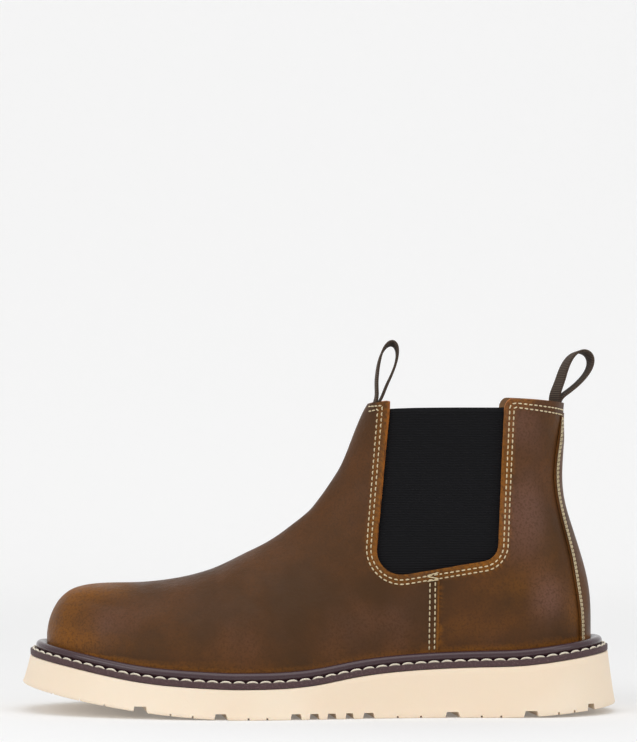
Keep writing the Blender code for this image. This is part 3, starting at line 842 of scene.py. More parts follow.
@dataclass(frozen=True)
class RibbedElastic:
    """Black elastic cloth, its level ribs in the mesh and its upright cords in the bump."""

    name: str = "ribbed_elastic"
    black: Colour = srgb(22, 22, 24)
    lint: Colour = srgb(44, 43, 45)
    cords: float = 700.0
    waver: float = 1.0
    flecks: Clouds = Clouds(1300.0, 2.0)
    flecked: Ramp = Ramp(0.5, 0.8, 0.0, 0.5)
    relief: Relief = Relief(0.0001, 0.6)
    roughness: float = 0.9
    gloss: float = 0.12

    def material(self) -> Material:
        """Black cloth with flecks of lint and a woven bump, along its UV map."""
        s = Shader(self.name)
        cords = s.bands(s.chart(), self.cords, "X", self.waver)
        flecks = s.noise(s.chart((1.0, 4.0, 1.0)), self.flecks)
        s.base(Base_Color=s.mix(s.spread(flecks, self.flecked), self.black, self.lint),
               Roughness=self.roughness, Normal=s.bump(cords, self.relief),
               Specular_IOR_Level=self.gloss)
        return s.material


@dataclass(frozen=True)
class Webbing:
    """Dark woven tape."""

    name: str = "woven_tape"
    taupe: Colour = srgb(104, 88, 74)
    dark: Colour = srgb(52, 42, 36)
    weft: float = 330.0
    warp: float = 260.0
    relief: Relief = Relief(0.0003, 0.9)
    roughness: float = 0.8
    gloss: float = 0.2

    def material(self) -> Material:
        """Weave from bands across the tape, which bands along it dim by half."""
        s = Shader(self.name)
        chart = s.chart()
        warp = s.join("MULTIPLY", s.bands(chart, self.warp, "Y"), 0.5)
        weave = s.join("MULTIPLY", s.bands(chart, self.weft, "X"), s.join("ADD", warp, 0.5))
        s.base(Base_Color=s.mix(weave, self.dark, self.taupe), Roughness=self.roughness,
               Normal=s.bump(weave, self.relief), Specular_IOR_Level=self.gloss)
        return s.material


@dataclass(frozen=True)
class SoleRubber:
    """Cream cellular rubber in two close tones."""

    name: str = "cream_sole"
    cream: Colour = srgb(243, 226, 203)
    peach: Colour = srgb(240, 220, 195)
    clouds: Clouds = Clouds(14.0, 2.0)
    clouded: Ramp = Ramp(0.35, 0.65)
    crumb: Clouds = Clouds(1800.0, 3.0, 0.6)
    crumb_relief: Relief = Relief(0.00012, 0.5)
    pit_scale: float = 900.0
    pit_relief: Relief = Relief(0.00006, 0.4)
    roughness: float = 0.62
    gloss: float = 0.35
    glow: float = 0.08
    glow_depth: tuple[float, float, float] = (0.004, 0.002, 0.001)

    def material(self) -> Material:
        """Cream and peach in large clouds, with a fine crumb and pits."""
        s = Shader(self.name)
        place = s.place()
        tone = s.spread(s.noise(place, self.clouds), self.clouded)
        crumb = s.bump(s.noise(place, self.crumb), self.crumb_relief)
        s.base(Base_Color=s.mix(tone, self.cream, self.peach), Roughness=self.roughness,
               Specular_IOR_Level=self.gloss, Subsurface_Weight=self.glow,
               Subsurface_Radius=self.glow_depth,
               Normal=s.bump(s.pores(place, self.pit_scale), self.pit_relief, crumb))
        return s.material


@dataclass(frozen=True)
class WeltRubber:
    """Dark brown welt: glossy on the bead, matte and speckled on the cut edge."""

    name: str
    brown: Colour
    fleck: Colour
    roughness: float
    speckle: float
    flecks: Clouds = Clouds(1100.0, 3.0, 0.7)
    flecked: tuple[float, float] = (0.50, 0.80)
    relief: float = 0.00015
    relief_share: float = 0.8

    def material(self) -> Material:
        """Brown with small lighter flecks, which also stand out a little."""
        s = Shader(self.name)
        fleck = s.noise(s.place(), self.flecks)
        tone = s.spread(fleck, Ramp(*self.flecked, 0.0, self.speckle))
        s.base(Base_Color=s.mix(tone, self.brown, self.fleck), Roughness=self.roughness,
               Normal=s.bump(fleck, Relief(self.relief, self.speckle * self.relief_share)))
        return s.material


@dataclass(frozen=True)
class Thread:
    """Twisted thread."""

    name: str
    light: Colour
    shade: Colour
    twists: float = 1.6
    slant: tuple[float, float, float] = (1.0, 0.35, 1.0)
    twisted: Ramp = Ramp(0.0, 0.6)
    relief: Relief = Relief(0.0002, 0.6)
    roughness: float = 0.6
    fuzz: float = 0.1

    def material(self) -> Material:
        """Slanting bands along the stitch give the twist."""
        s = Shader(self.name)
        twist = s.bands(s.chart(self.slant), self.twists, "DIAGONAL")
        s.base(Base_Color=s.mix(s.spread(twist, self.twisted), self.shade, self.light),
               Roughness=self.roughness, Normal=s.bump(twist, self.relief), Sheen_Weight=self.fuzz)
        return s.material


WELT_BEAD = WeltRubber("welt_bead", srgb(64, 43, 48), srgb(96, 76, 84), roughness=0.20, speckle=0.25)
WELT_EDGE = WeltRubber("welt_edge", srgb(70, 46, 48), srgb(132, 106, 106), roughness=0.62, speckle=0.60)
TOP_THREAD = Thread("top_thread", srgb(252, 238, 200), srgb(214, 188, 138))
WELT_THREAD = Thread("welt_thread", srgb(252, 244, 226), srgb(222, 204, 176))


class Finishes:
    """Every finish of the boot, made once."""

    def __init__(self) -> None:
        """Make the materials."""
        self.leather = OiledLeather().material()
        self.cut = CUT_EDGE.material()
        self.lining = LINING.material()
        self.board = INSOLE_BOARD.material()
        self.elastic = RibbedElastic().material()
        self.webbing = Webbing().material()
        self.sole = SoleRubber().material()
        self.bead = WELT_BEAD.material()
        self.edge = WELT_EDGE.material()
        self.thread = TOP_THREAD.material()
        self.cord = WELT_THREAD.material()


def dress(item: Piece, *materials: Material) -> None:
    """Give a piece its materials in order."""
    for material in materials:
        item.data.materials.append(material)


# Stitches


@dataclass(frozen=True)
class Stitch:
    """One size of stitch: an arc of thread whose ends sink into the leather."""

    pitch: float
    length: float
    width: float
    lift: float
    steps: int = 6
    sides: int = 6
    sunk: float = 0.35            # of the width, at the ends
    blunt: float = 0.06           # least squared share of the radius, at the ends
    twists: float = 4.0           # turns of the thread's twist over half the stitch

    def frames(self, path: Array, up: Array) -> tuple[Array, Array, Array, Array]:
        """Middle, direction ahead, direction aside and outward direction of each stitch.

        Args:
            path: points of the stitch line.
            up: outward direction at each point.

        Returns:
            One row to a stitch, for each of the four.
        """
        run = lengths_along(path)
        count = max(1, int(round(run[-1] / self.pitch)))
        at = (np.arange(count) + 0.5) * run[-1] / count
        reach = self.length / 2
        ahead = unit(read_along(at + reach, run, path) - read_along(at - reach, run, path))
        out = unit(read_along(at, run, up))
        beside = unit(np.cross(out, ahead))
        return read_along(at, run, path), ahead, beside, np.cross(ahead, beside)

    def row(self, path: Array, up: Array) -> tuple[Array, Array, Array]:
        """Stitches set along a path.

        Each stitch is a tube round an arc: its height is the lift times one less the square of the
        share from its middle, and its radius falls off to its ends, which sink.

        Args:
            path: points of the stitch line, on the leather's outside.
            up: outward direction at each point.

        Returns:
            Points, faces and plane places for the thread's twist.
        """
        centre, ahead, beside, out = (part[:, None, None] for part in self.frames(path, up))
        count = len(centre)
        u = np.linspace(-1, 1, self.steps + 1)[:, None]
        turn = np.linspace(0, 2 * math.pi, self.sides, endpoint=False)[None, :]
        radius = self.width / 2 * np.sqrt(np.clip(1 - u ** 4, self.blunt, 1))
        arc = self.lift * (1 - u ** 2) - self.width * self.sunk * u ** 4
        forward, side, high = np.broadcast_arrays(
            u * self.length / 2, radius * np.cos(turn), arc + radius * np.sin(turn))
        grid = (centre + ahead * forward[None, ..., None] + beside * side[None, ..., None]
                + out * high[None, ..., None])
        tube = grid_faces(self.steps + 1, self.sides, close_columns=True)
        k = np.arange(self.sides // 2 - 1)
        end = np.stack([k, k + 1, self.sides - k - 2, self.sides - k - 1], axis=-1)
        whole = np.concatenate([tube, end, end[:, ::-1] + self.steps * self.sides])
        each = (self.steps + 1) * self.sides
        faces = (whole[None] + (np.arange(count) * each)[:, None, None]).reshape(-1, 4)
        chart = np.stack(np.broadcast_arrays(u * self.twists, turn / math.pi), axis=-1)
        return grid.reshape(-1, 3), faces, np.tile(chart.reshape(-1, 2), (count, 1))


TOP_STITCH = Stitch(pitch=0.0030, length=0.0022, width=0.00074, lift=0.00038)
BACK_STITCH = Stitch(pitch=0.0022, length=0.0023, width=0.00062, lift=0.00032)
WELT_STITCH = Stitch(pitch=0.0068, length=0.0064, width=0.00110, lift=0.00062, steps=10, sides=8)


class StitchWork:
    """Collects rows of stitches and makes one piece of them."""

    SHARP = 80.0

    def __init__(self, name: str, slot: str) -> None:
        """Start an empty piece."""
        self.name = name
        self.slot = slot
        self.points: list[Array] = []
        self.faces: list[Array] = []
        self.charts: list[Array] = []

    def add(self, stitch: Stitch, path: Array, up: Array) -> None:
        """Add a row of stitches along a path."""
        start = sum(len(p) for p in self.points)
        points, faces, chart = stitch.row(path, up)
        self.points.append(points)
        self.faces.append(faces + start)
        self.charts.append(chart)

    def make(self, thread: Material) -> Piece:
        """Make the piece and dress it in its thread."""
        points, faces = np.concatenate(self.points), np.concatenate(self.faces)
        item = new_piece(self.name, points, faces, sharp=self.SHARP)
        set_uv(item, np.concatenate(self.charts))
        dress(item, thread)
        return item


# Upper


@dataclass
class Window:
    """Notch for the elastic, seen from the side, and the lines that follow it."""

    # Corners from the front top round to the rear top: share along the last, and share of the
    # upper's height below the collar
    corners: tuple = ((0.630, 0.016), (0.604, 0.654), (0.830, 0.575), (0.8425, -0.026))
    radii: tuple[float, float, float] = (0.013, 0.009, 0.0055)
    lap: float = 0.004            # of the elastic behind the leather
    edge_points: int = 700
    arc_steps: int = 16

    def __post_init__(self) -> None:
        """Work out the corners in metres, and the edge."""
        self.collar = float(LAST.surface(LAST.top_place, 1.0, 0.0)[2])
        self.points = np.array([
            (LAST.toe_x + along * LAST.length, self.collar - drop * LAST.upper_height)
            for along, drop in self.corners])
        self.edge = self.leather_edge()

    def fillet(self, before: Array, corner: Array, after: Array, radius: float) -> Array:
        """Arc that touches both lines of a corner: its centre lies on their bisector.

        Args:
            before: a point on the line into the corner.
            corner: the corner.
            after: a point on the line out of it.
            radius: radius of the arc.

        Returns:
            Points of the arc.
        """
        first, second = unit(before - corner), unit(after - corner)
        half = math.acos(float(np.clip(first @ second, -1, 1))) / 2
        centre = corner + unit(first + second) * radius / math.sin(half)
        reach = radius / math.tan(half)
        start, end = corner + first * reach - centre, corner + second * reach - centre
        turn = math.atan2(start[0] * end[1] - start[1] * end[0], start @ end)
        angle = np.linspace(0, turn, self.arc_steps + 1)
        return centre + np.stack([start[0] * np.cos(angle) - start[1] * np.sin(angle),
                                  start[0] * np.sin(angle) + start[1] * np.cos(angle)], axis=-1)

    def leather_edge(self) -> Array:
        """Edge of the leather from above the front top, round the foot, to past the rear top."""
        front, low_front, low_rear, rear = self.points
        round_front, round_rear, round_top = self.radii
        past = rear + (2 * round_top, 0.0)
        above = np.array((front[0], rear[1] + 2 * round_top))
        path = np.concatenate([
            [above, front], self.fillet(front, low_front, low_rear, round_front),
            self.fillet(low_front, low_rear, rear, round_rear),
            self.fillet(low_rear, rear, past, round_top), [past]])
        return resample(path, self.edge_points)

    def foot(self, x: Array) -> Array:
        """Height of the straight foot of the window."""
        (x0, z0), (x1, z1) = self.points[1:3]
        return z0 + (x - x0) * (z1 - z0) / (x1 - x0)

    def hole(self) -> Array:
        """Closed outline of the notch, open to above the collar."""
        return np.concatenate([self.edge, [(self.edge[-1, 0], self.edge[0, 1])]])


WINDOW = Window()


@dataclass(frozen=True)
class Lap:
    """Where the vamp laps over the quarter: a slanting edge from the window down to the welt."""

    heights: tuple[float, float] = (0.029, 0.0735)      # at the welt and at the window
    places: tuple[float, float] = (0.0615, 0.0624)      # of the edge there
    run: float = 0.012                                  # in which the leather rises to the edge
    high: float = 0.0010
    past: float = 0.0002                                # how far behind the edge still counts

    def edge(self, z: Array) -> Array:
        """Place of the edge at a height."""
        return np.interp(z, self.heights, self.places)

    def height(self, x: Array, z: Array) -> Array:
        """Height of the lap over the leather: it rises smoothly up to its edge, then stops."""
        rise = ease((x - self.edge(z) + self.run) / self.run)
        below = (x <= self.edge(z) + self.past) & (z < WINDOW.foot(x)) & (z > LAST.sole_top(x))
        return np.where(below, rise * self.high, 0.0)


LAP = Lap()


@dataclass(frozen=True)
class Patch:
    """Soft patch of the leather in the side view."""

    x: float
    z: float
    half_width: float
    half_height: float
    strength: float

    def at(self, points: Array) -> Array:
        """Strength of the patch: a bell along the boot times a bell up it."""
        along = hump(points[:, 0] - self.x, self.half_width)
        return self.strength * along * hump(points[:, 2] - self.z, self.half_height)


@dataclass(frozen=True)
class Fold:
    """Shallow fold or dent along a slanting line of the side view."""

    x: float
    z: float
    slant: float                  # angle of the direction across it, up from the level, in radians
    half_length: float
    half_width: float
    height: float

    def at(self, points: Array) -> Array:
        """Height of the fold: a bell across its line, faded by a bell along it."""
        x, z = points[:, 0] - self.x, points[:, 2] - self.z
        across = x * math.cos(self.slant) + z * math.sin(self.slant)
        along = z * math.cos(self.slant) - x * math.sin(self.slant)
        return self.height * hump(across, self.half_width) * hump(along, self.half_length)


# Rubbed patches, orange-brown: toe, vamp, quarter, heel, shaft and instep
RUBBED = (
    Patch(-0.1425, 0.058, 0.030, 0.050, 0.58), Patch(-0.1130, 0.068, 0.028, 0.009, 0.50),
    Patch(-0.1250, 0.037, 0.020, 0.009, 0.22), Patch(-0.0700, 0.036, 0.050, 0.009, 0.22),
    Patch(0.0760, 0.044, 0.024, 0.011, 0.30), Patch(0.0900, 0.066, 0.022, 0.010, 0.22),
    Patch(0.1340, 0.052, 0.007, 0.018, 0.35), Patch(0.1160, 0.070, 0.024, 0.030, 0.30),
    Patch(0.1080, 0.130, 0.024, 0.034, 0.24), Patch(0.1240, 0.150, 0.008, 0.010, 0.20),
    Patch(0.0100, 0.100, 0.016, 0.018, 0.16))

# Patches of painted sheen, paler and duller: toe, heel, back and vamp
SHEEN_PATCHES = (
    Patch(-0.1060, 0.049, 0.017, 0.009, 0.60), Patch(0.1190, 0.061, 0.010, 0.012, 1.15),
    Patch(0.1070, 0.104, 0.011, 0.022, 1.15), Patch(0.1050, 0.148, 0.010, 0.014, 0.70),
    Patch(0.0340, 0.050, 0.016, 0.012, 0.40))

# The two dents behind the toe's stiffener, then the folds where the foot bends and at the instep
FOLDS = (
    Fold(-0.0900, 0.0600, 1.35, 0.020, 0.0060, -0.00095),
    Fold(-0.1100, 0.0570, 1.44, 0.017, 0.0026, -0.00085),
    Fold(-0.0430, 0.0640, 0.95, 0.016, 0.0026, -0.00030),
    Fold(-0.0330, 0.0580, 0.80, 0.020, 0.0030, -0.00032),
    Fold(-0.0230, 0.0690, 0.70, 0.017, 0.0028, -0.00028),
    Fold(-0.0120, 0.0610, 0.60, 0.018, 0.0032, -0.00026),
    Fold(0.0060, 0.1010, 1.15, 0.016, 0.0034, -0.00034),
    Fold(0.0120, 0.0900, 1.00, 0.018, 0.0036, -0.00030))


@dataclass(frozen=True)
class Band:
    """Rubbed band along an edge: its distance from the edge, its half width and its strength."""

    away: float
    half_width: float
    strength: float

    def at(self, distance: Array) -> Array:
        """Strength of the band: a bell across it."""
        return self.strength * hump(distance - self.away, self.half_width)


@dataclass(frozen=True)
class Wear:
    """How the leather has lightened, and the painted sheen on it, worked out at each point of a piece.
    """

    low: Band = Band(0.0, 0.013, 0.45)                  # above the sole
    bead: Band = Band(0.0088, 0.0012, 0.26)             # just above the welt's bead
    lap: Band = Band(0.0, 0.0013, 0.65)                 # along the vamp's edge
    seam: Band = Band(0.0036, 0.0026, 0.58)             # under the rows round the windows
    cut: Band = Band(0.0, 0.0017, 0.90)                 # along the windows' edges
    window_side: float = 0.02                           # the windows lie behind this place
    every: int = 8                                      # points of their edges that are skipped
    lead: float = 0.05                                  # by which edges have to outdo patches

    def burnish(self, points: Array) -> Array:
        """Rubbed patches plus, where the bands together outdo them, the strongest of the bands.

        Args:
            points: points of the piece.

        Returns:
            One number for each, about 1 where the leather is most rubbed.
        """
        x, _, z = points.T
        over_sole = z - LAST.sole_top(x)
        patches = sum(patch.at(points) for patch in RUBBED)
        low = self.low.at(over_sole) + self.bead.at(over_sole)
        lap = self.lap.at(x - LAP.edge(z)) * (z < WINDOW.foot(x))
        gap = np.ones(len(points))
        near = x > self.window_side
        gap[near], _ = gap_to(points[near][:, [0, 2]], WINDOW.edge[::self.every])
        seams = np.maximum(self.seam.at(gap), self.cut.at(gap))
        bands = np.stack([low, lap, seams])
        outdone = bands.sum(axis=0) > patches + self.lead
        return np.where(outdone, bands.max(axis=0), 0.0) + patches

    def painted_sheen(self, points: Array) -> Array:
        """Painted sheen on the leather: the sum of its sheen patches."""
        return sum(patch.at(points) for patch in SHEEN_PATCHES)

    def mark(self, item: Piece, points: Array, least: Array | float = -math.inf) -> None:
        """Store both numbers on a leather piece, the first with a least value at each point."""
        set_values(item, "burnish", np.maximum(self.burnish(points), least))
        # painted sheen, stored for the leather's colour
        set_values(item, "painted_sheen", self.painted_sheen(points))


WEAR = Wear()


@dataclass
class Upper:
    """Leather upper: one wall with a notch for the elastic on each side."""

    leather: float = 0.0020
    rows: int = 232
    half_columns: int = 72
    snap: float = 0.003           # rim points this near to the window's edge are moved onto it

    def grid(self) -> tuple[Array, Array, Array]:
        """Outside of the leather, from the outer side over the ridge to the inner side.

        Along a section the points crowd to the ridge by a sine, and round the heel to both ends.

        Returns:
            Points, the side of each and the grid's faces.
        """
        place = np.linspace(0, LAST.top_place, self.rows)[:, None]
        behind = (1 - LAST.foot_share(place)) * LAST.length
        turn = np.clip(1 - behind / LAST.heel_radius, 0, 1)
        v = np.linspace(0, 1, self.half_columns + 1)[None, :]
        g = (1 - turn) * np.sin(v * QUARTER_TURN) + turn * half_turn(v)
        outer = LAST.surface(place, g, Side.OUTER)
        inner = LAST.surface(place, g, Side.INNER)[:, -2::-1]
        sides = np.concatenate([np.full(outer.shape[:2], int(Side.OUTER)),
                                np.full(inner.shape[:2], int(Side.INNER))], axis=1)
        grid = np.concatenate([outer, inner], axis=1)
        return grid.reshape(-1, 3), sides.reshape(-1), grid_faces(*grid.shape[:2])

    def notched(self, points: Array, sides: Array, faces: Array) -> Array:
        """Take out the faces in the windows and move the points left on their rims to the edge.

        Args:
            points: grid points, moved in place.
            sides: side of the foot of each.
            faces: grid faces.

        Returns:
            The faces that stay.
        """
        centres = points[faces].mean(axis=1)
        hole = WINDOW.hole()
        behind = centres[:, 0] > hole[:, 0].min() - MM
        cut = np.zeros(len(faces), bool)
        cut[behind] = inside(centres[behind][:, [0, 2]], hole)
        kept = faces[~cut]
        on_rim = np.intersect1d(np.unique(faces[cut]), np.unique(kept))
        gap, nearest = gap_to(points[on_rim][:, [0, 2]], WINDOW.edge)
        for side in Side:
            mine = (gap < self.snap) & (sides[on_rim] == side)
            moved, _ = LAST.on_side(nearest[mine, 0], nearest[mine, 1], side)
            points[on_rim[mine]] = moved
        return kept

    def make(self, finishes: Finishes) -> Piece:
        """Cut the windows, fold the outside, give the wall its thickness and dress it."""
        points, sides, faces = self.grid()
        points, kept = weld(points, self.notched(points, sides, faces))
        kept = facing_away(points, kept)
        folds = sum(fold.at(points) for fold in FOLDS)
        both, all_faces, kinds = walled(points, kept, folds, -self.leather)
        item = new_piece("leather_upper", both, all_faces, replaces=("upper",), kinds=kinds)
        dress(item, finishes.leather, finishes.cut, finishes.lining)
        WEAR.mark(item, both)
        return item


@dataclass
class VampLap:
    """Raised edge where the vamp laps over the quarter, from the window to the welt."""

    rows: int = 90
    columns: int = 16
    buried: float = 0.0006
    sliver: float = 0.0001        # kept clear of the window's foot, and sunk into the leather
    below: float = 0.00001        # how far under each point the lap's height is read

    def make(self, side: Side, finishes: Finishes) -> Piece:
        """Ribbon that rises backwards out of the leather to a cut edge."""
        up = np.linspace(0, 1, self.rows)[:, None]
        along = np.linspace(0, 1, self.columns)[None, :]
        front, rear = LAP.places
        low = LAST.sole_top(front) + 2 * LAST.gap
        high = WINDOW.foot(rear) - LAST.gap
        x = LAP.edge(low + (high - low) * up) - LAP.run * (1 - along)
        low = LAST.sole_top(x) + 2 * LAST.gap
        z = low + (WINDOW.foot(x) - self.sliver - low) * up
        points = LAST.on_side(x, z, side)[0].reshape(-1, 3)
        faces = facing_away(points, grid_faces(self.rows, self.columns))
        lift = LAP.height(x, z - self.below).reshape(-1) - self.sliver
        both, all_faces, kinds = walled(points, faces, lift, -self.buried)
        item = new_piece(f"vamp_lap_{side.name.lower()}", both, all_faces, kinds=kinds)
        dress(item, finishes.leather, finishes.cut, finishes.leather)
        WEAR.mark(item, both)
        return item


@dataclass
class Gore:
    """Elastic panel behind a window, with a level rib every pitch of its height."""

    leather: float = 0.0020
    thick: float = 0.0013
    drop: float = 0.0022
    pitch: float = 0.00125
    rib: float = 0.00014
    hem: float = 0.0006           # height and depth of the rounded top edge
    rows: int = 520
    columns: int = 44

    def make(self, side: Side, finishes: Finishes) -> Piece:
        """Panel between the window's two upright lines; each rib is a cosine of the height."""
        front, low_front, low_rear, rear = WINDOW.points
        top = WINDOW.collar - self.drop
        z = np.linspace(low_front[1] - WINDOW.lap, top, self.rows)[:, None]
        left = np.interp(z, [low_front[1], front[1]], [low_front[0], front[0]]) - WINDOW.lap
        right = np.interp(z, [low_rear[1], rear[1]], [low_rear[0], rear[0]]) + WINDOW.lap
        x, z = np.broadcast_arrays(
            left + (right - left) * np.linspace(0, 1, self.columns)[None, :], z)
        points = LAST.on_side(x, z, side)[0].reshape(-1, 3)
        faces = facing_away(points, grid_faces(self.rows, self.columns))
        ribs = self.rib * (np.cos(z * 2 * math.pi / self.pitch) - 1)
        behind = self.leather + 2 * LAST.gap
        depth = (ribs - self.hem * hump(top - z, self.hem)).reshape(-1) - behind
        both, all_faces, _ = walled(points, faces, depth, -behind - self.thick)
        name = side.name.lower()
        item = new_piece(f"elastic_{name}", both, all_faces, replaces=(f"gore_{name}",))
        chart = np.stack([x, z], axis=-1).reshape(-1, 2)
        set_uv(item, np.concatenate([chart, chart]))
        dress(item, finishes.elastic)
        return item


@dataclass
class BackStrip:
    """Strip of leather over the back seam."""

    # Front edge: share of the back's height, then how far ahead of the heel's foot, of the length
    edge_line: tuple = (
        (-0.10, 0.0200), (0.07, 0.0200), (0.18, 0.0222), (0.28, 0.0290), (0.385, 0.0370),
        (0.486, 0.0480), (0.588, 0.0590), (0.69, 0.0655), (0.80, 0.0630), (0.936, 0.0530),
        (1.05, 0.0455))
    thick: float = 0.0013
    least: float = 0.15           # share of the thickness at its top, under the rear tab
    taper: float = 0.016
    drop: float = 0.0048
    foot_gap: float = 0.0030
    rows: int = 150
    half_columns: int = 26
    line_from: float = 14.0       # row of SECTIONS at which the back line starts
    line_points: int = 200
    worn: Band = Band(0.0, 0.0012, 0.55)
    bevel: float = 0.00045
    bevel_steps: int = 2
    bevel_angle: float = 50.0

    def __post_init__(self) -> None:
        """Work out the heights of its ends and the back line."""
        self.heel = float(LAST.sole_top(LAST.heel_x)) + LAST.gap
        line = LAST.surface(np.linspace(self.line_from, LAST.top_place, self.line_points), 0.0, 0.0)
        self.line_x, self.line_z = line[:, 0], line[:, 2]
        self.bottom = self.heel + self.foot_gap
        self.top = self.line_z[-1] - self.drop

    def edge_x(self, z: Array) -> Array:
        """Front edge of the strip at a height."""
        knots, ahead = np.array(self.edge_line).T
        return LAST.heel_x - spline(knots, ahead, (z - self.heel) / LAST.back_height) * LAST.length

    def height(self, z: Array) -> Array:
        """Height of the strip's face over the leather: it thins smoothly towards its top."""
        share = self.least + (1 - self.least) * ease((self.top - z) / self.taper)
        return LAST.gap + self.thick * share

    def make(self, finishes: Finishes) -> Piece:
        """Strip from edge to edge round the back: places close up by a sine to the back line."""
        z = np.linspace(self.bottom, self.top, self.rows)[:, None]
        share = np.sin(np.linspace(0, 1, self.half_columns + 1) * QUARTER_TURN)[None, :]
        edge = self.edge_x(z)
        place, g = LAST.locate(edge + (np.interp(z, self.line_z, self.line_x) - edge) * share, z)
        g = np.clip(g, 0, 1)
        g[:, -1] = 0.0
        outer, inner = (LAST.surface(place, g, side) for side in Side)
        outer[:, -1, 1] = inner[:, -1, 1]
        grid = np.concatenate([outer, inner[:, -2::-1]], axis=1)
        points = grid.reshape(-1, 3)
        faces = facing_away(points, grid_faces(*grid.shape[:2]))
        both, all_faces, kinds = walled(points, faces, self.height(points[:, 2]), LAST.gap)
        item = new_piece("back_strip_leather", both, all_faces,
                         replaces=("back_strip",), kinds=kinds)
        dress(item, finishes.leather, finishes.leather, finishes.leather)
        WEAR.mark(item, both, self.worn.at(both[:, 0] - self.edge_x(both[:, 2])))
        edging = item.modifiers.new("worn edges", "BEVEL")
        edging.width = self.bevel
        edging.segments = self.bevel_steps
        edging.limit_method = "ANGLE"
        edging.angle_limit = math.radians(self.bevel_angle)
        return item


@dataclass
class PullLoop:
    """Loop of flat webbing: two legs tucked in the collar and a teardrop above it."""

    name: str
    node: str
    front: bool
    rise: float
    spread: float
    lean: float                          # of the teardrop's axis, in degrees
    yaw: tuple[float, float, float]      # turn of the rear leg, the top and the front leg
    roll: float
    width: float = 0.0120
    thick: float = 0.0012
    corner: float = 0.00045
    tuck: float = 0.0120
    clear: float = -0.0004               # from the leather's inside; the tape is pressed into it
    cup: float = 0.0012                  # how far its long edges curl with the collar at the foot
    cup_run: float = 0.014
    yaw_run: float = 0.006
    roll_from: float = 0.2               # share of the rise at which the roll starts
    leather: float = 0.0020
    bend: float = 0.25                   # share of the rise in which the legs turn to the lean
    full: float = 0.68
    tear: float = 1.8
    axis_points: int = 400
    drop_points: int = 97
    tucked_points: int = 7

    def axis(self) -> tuple[Array, Array, Array]:
        """Leaning axis of the teardrop: it starts along the collar's inside and bends to the lean.

        Returns:
            Lengths along the axis from the collar up, and its direction and place at each.
        """
        end = 1.0 if self.front else 0.0
        top = LAST.surface(LAST.top_place, end, 0.0)[[0, 2]]
        low = LAST.surface(LAST.top_place - 1, end, 0.0)[[0, 2]]
        tuck_angle = math.atan2(*(top - low))
        seat = self.leather + self.clear + self.thick + LAST.gap / 2
        foot_x = top[0] + seat / math.cos(tuck_angle) if self.front else top[0] - seat
        at = np.linspace(-self.tuck, self.rise, self.axis_points)
        lean = math.radians(self.lean) - tuck_angle
        angle = tuck_angle + lean * ease(at / (self.rise * self.bend))
        step = np.diff(at, prepend=at[0])
        line = np.cumsum(np.stack([np.sin(angle), np.cos(angle)], axis=-1) * step[:, None], axis=0)
        line += (foot_x, top[1]) - read_along(np.zeros(1), at, line)
        return at, angle, line

    def path(self) -> tuple[Array, Array, Array, Array]:
        """Middle line seen from the side: the axis with a teardrop laid off across it.

        The teardrop's half width is a sine of the way round times a power of the half way's sine.

        Returns:
            Places in the side view, and the turn, roll and length along the axis at each.
        """
        at, angle, line = self.axis()
        phase = np.linspace(0, 2 * math.pi, self.drop_points)
        apart = (self.thick + LAST.gap) / 2
        bulge = self.full * self.spread * np.sin(phase) * np.sin(phase / 2) ** self.tear
        tucked = np.linspace(-self.tuck, 0, self.tucked_points + 1)[:-1]
        none, all_round = np.zeros(self.tucked_points), np.ones(self.tucked_points)
        along = np.concatenate([tucked, self.rise * (1 - np.cos(phase)) / 2, tucked[::-1]])
        side = np.concatenate([all_round * apart, apart * np.cos(phase / 2) + bulge, -all_round * apart])
        share = np.concatenate([none, phase / (2 * math.pi), all_round])
        turned = np.interp(along, at, angle)
        across = np.stack([np.cos(turned), -np.sin(turned)], axis=-1)
        yaw = np.radians(np.interp(share, (0.0, 0.5, 1.0), self.yaw))
        yaw = yaw * ease((along + self.yaw_run) / self.yaw_run)
        roll_share = (along / self.rise - self.roll_from) / (1 - self.roll_from)
        roll = math.radians(self.roll) * ease(roll_share)
        return read_along(along, at, line) + side[:, None] * across, yaw, roll, along

    def make(self, finishes: Finishes) -> Piece:
        """Carry a flat bar with rounded edges along the line, turned about the upright."""
        line, turn, roll, along = self.path()
        ahead = unit(np.gradient(line, axis=0))
        bar = rounded_bar(self.width, self.thick, self.corner)
        across, lift = bar[None, :, 0], bar[None, :, 1]
        curl = self.cup * (1 if self.front else -1) * (1 - ease(along / self.cup_run))[:, None]
        cupped = curl * (2 * across / self.width) ** 2
        x = line[:, :1] + ahead[:, 1:] * lift + cupped - across * np.sin(turn)[:, None]
        y = across * np.cos(turn)[:, None]
        z = line[:, 1:] - ahead[:, :1] * lift - across * np.sin(roll)[:, None]
        grid = np.stack([x, y, z], axis=-1)
        rows, columns = grid.shape[:2]
        faces = grid_faces(rows, columns, close_columns=True).tolist()
        faces += [list(range(columns)), list(range((rows - 1) * columns, rows * columns))[::-1]]
        item = new_piece(self.name, grid.reshape(-1, 3), faces, replaces=(self.node,))
        chart = np.stack(np.broadcast_arrays(lengths_along(line)[:, None], across), axis=-1)
        set_uv(item, chart.reshape(-1, 2))
        dress(item, finishes.webbing)
        return item


FRONT_LOOP = PullLoop("front_loop", "front_pull_loop", front=True, rise=0.0335, spread=0.0086,
                      lean=15.5, yaw=(1.0, 3.0, 5.0), roll=12.0)
REAR_LOOP = PullLoop("rear_loop", "rear_pull_loop", front=False, rise=0.0305, spread=0.0120,
                     lean=32.0, yaw=(9.0, 13.0, 24.0), roll=6.0)


# Sole, welt and insole


@dataclass
class Insole:
    """Board inside the foot of the upper: the part's own solid, dressed."""

    node: str = "insole"

    def make(self, finishes: Finishes) -> Piece:
        """Give the solid its board finish."""
        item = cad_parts[self.node]
        item.data.materials.clear()
        dress(item, finishes.board)
        log.info("%s: kept from the part", self.node)
        return item


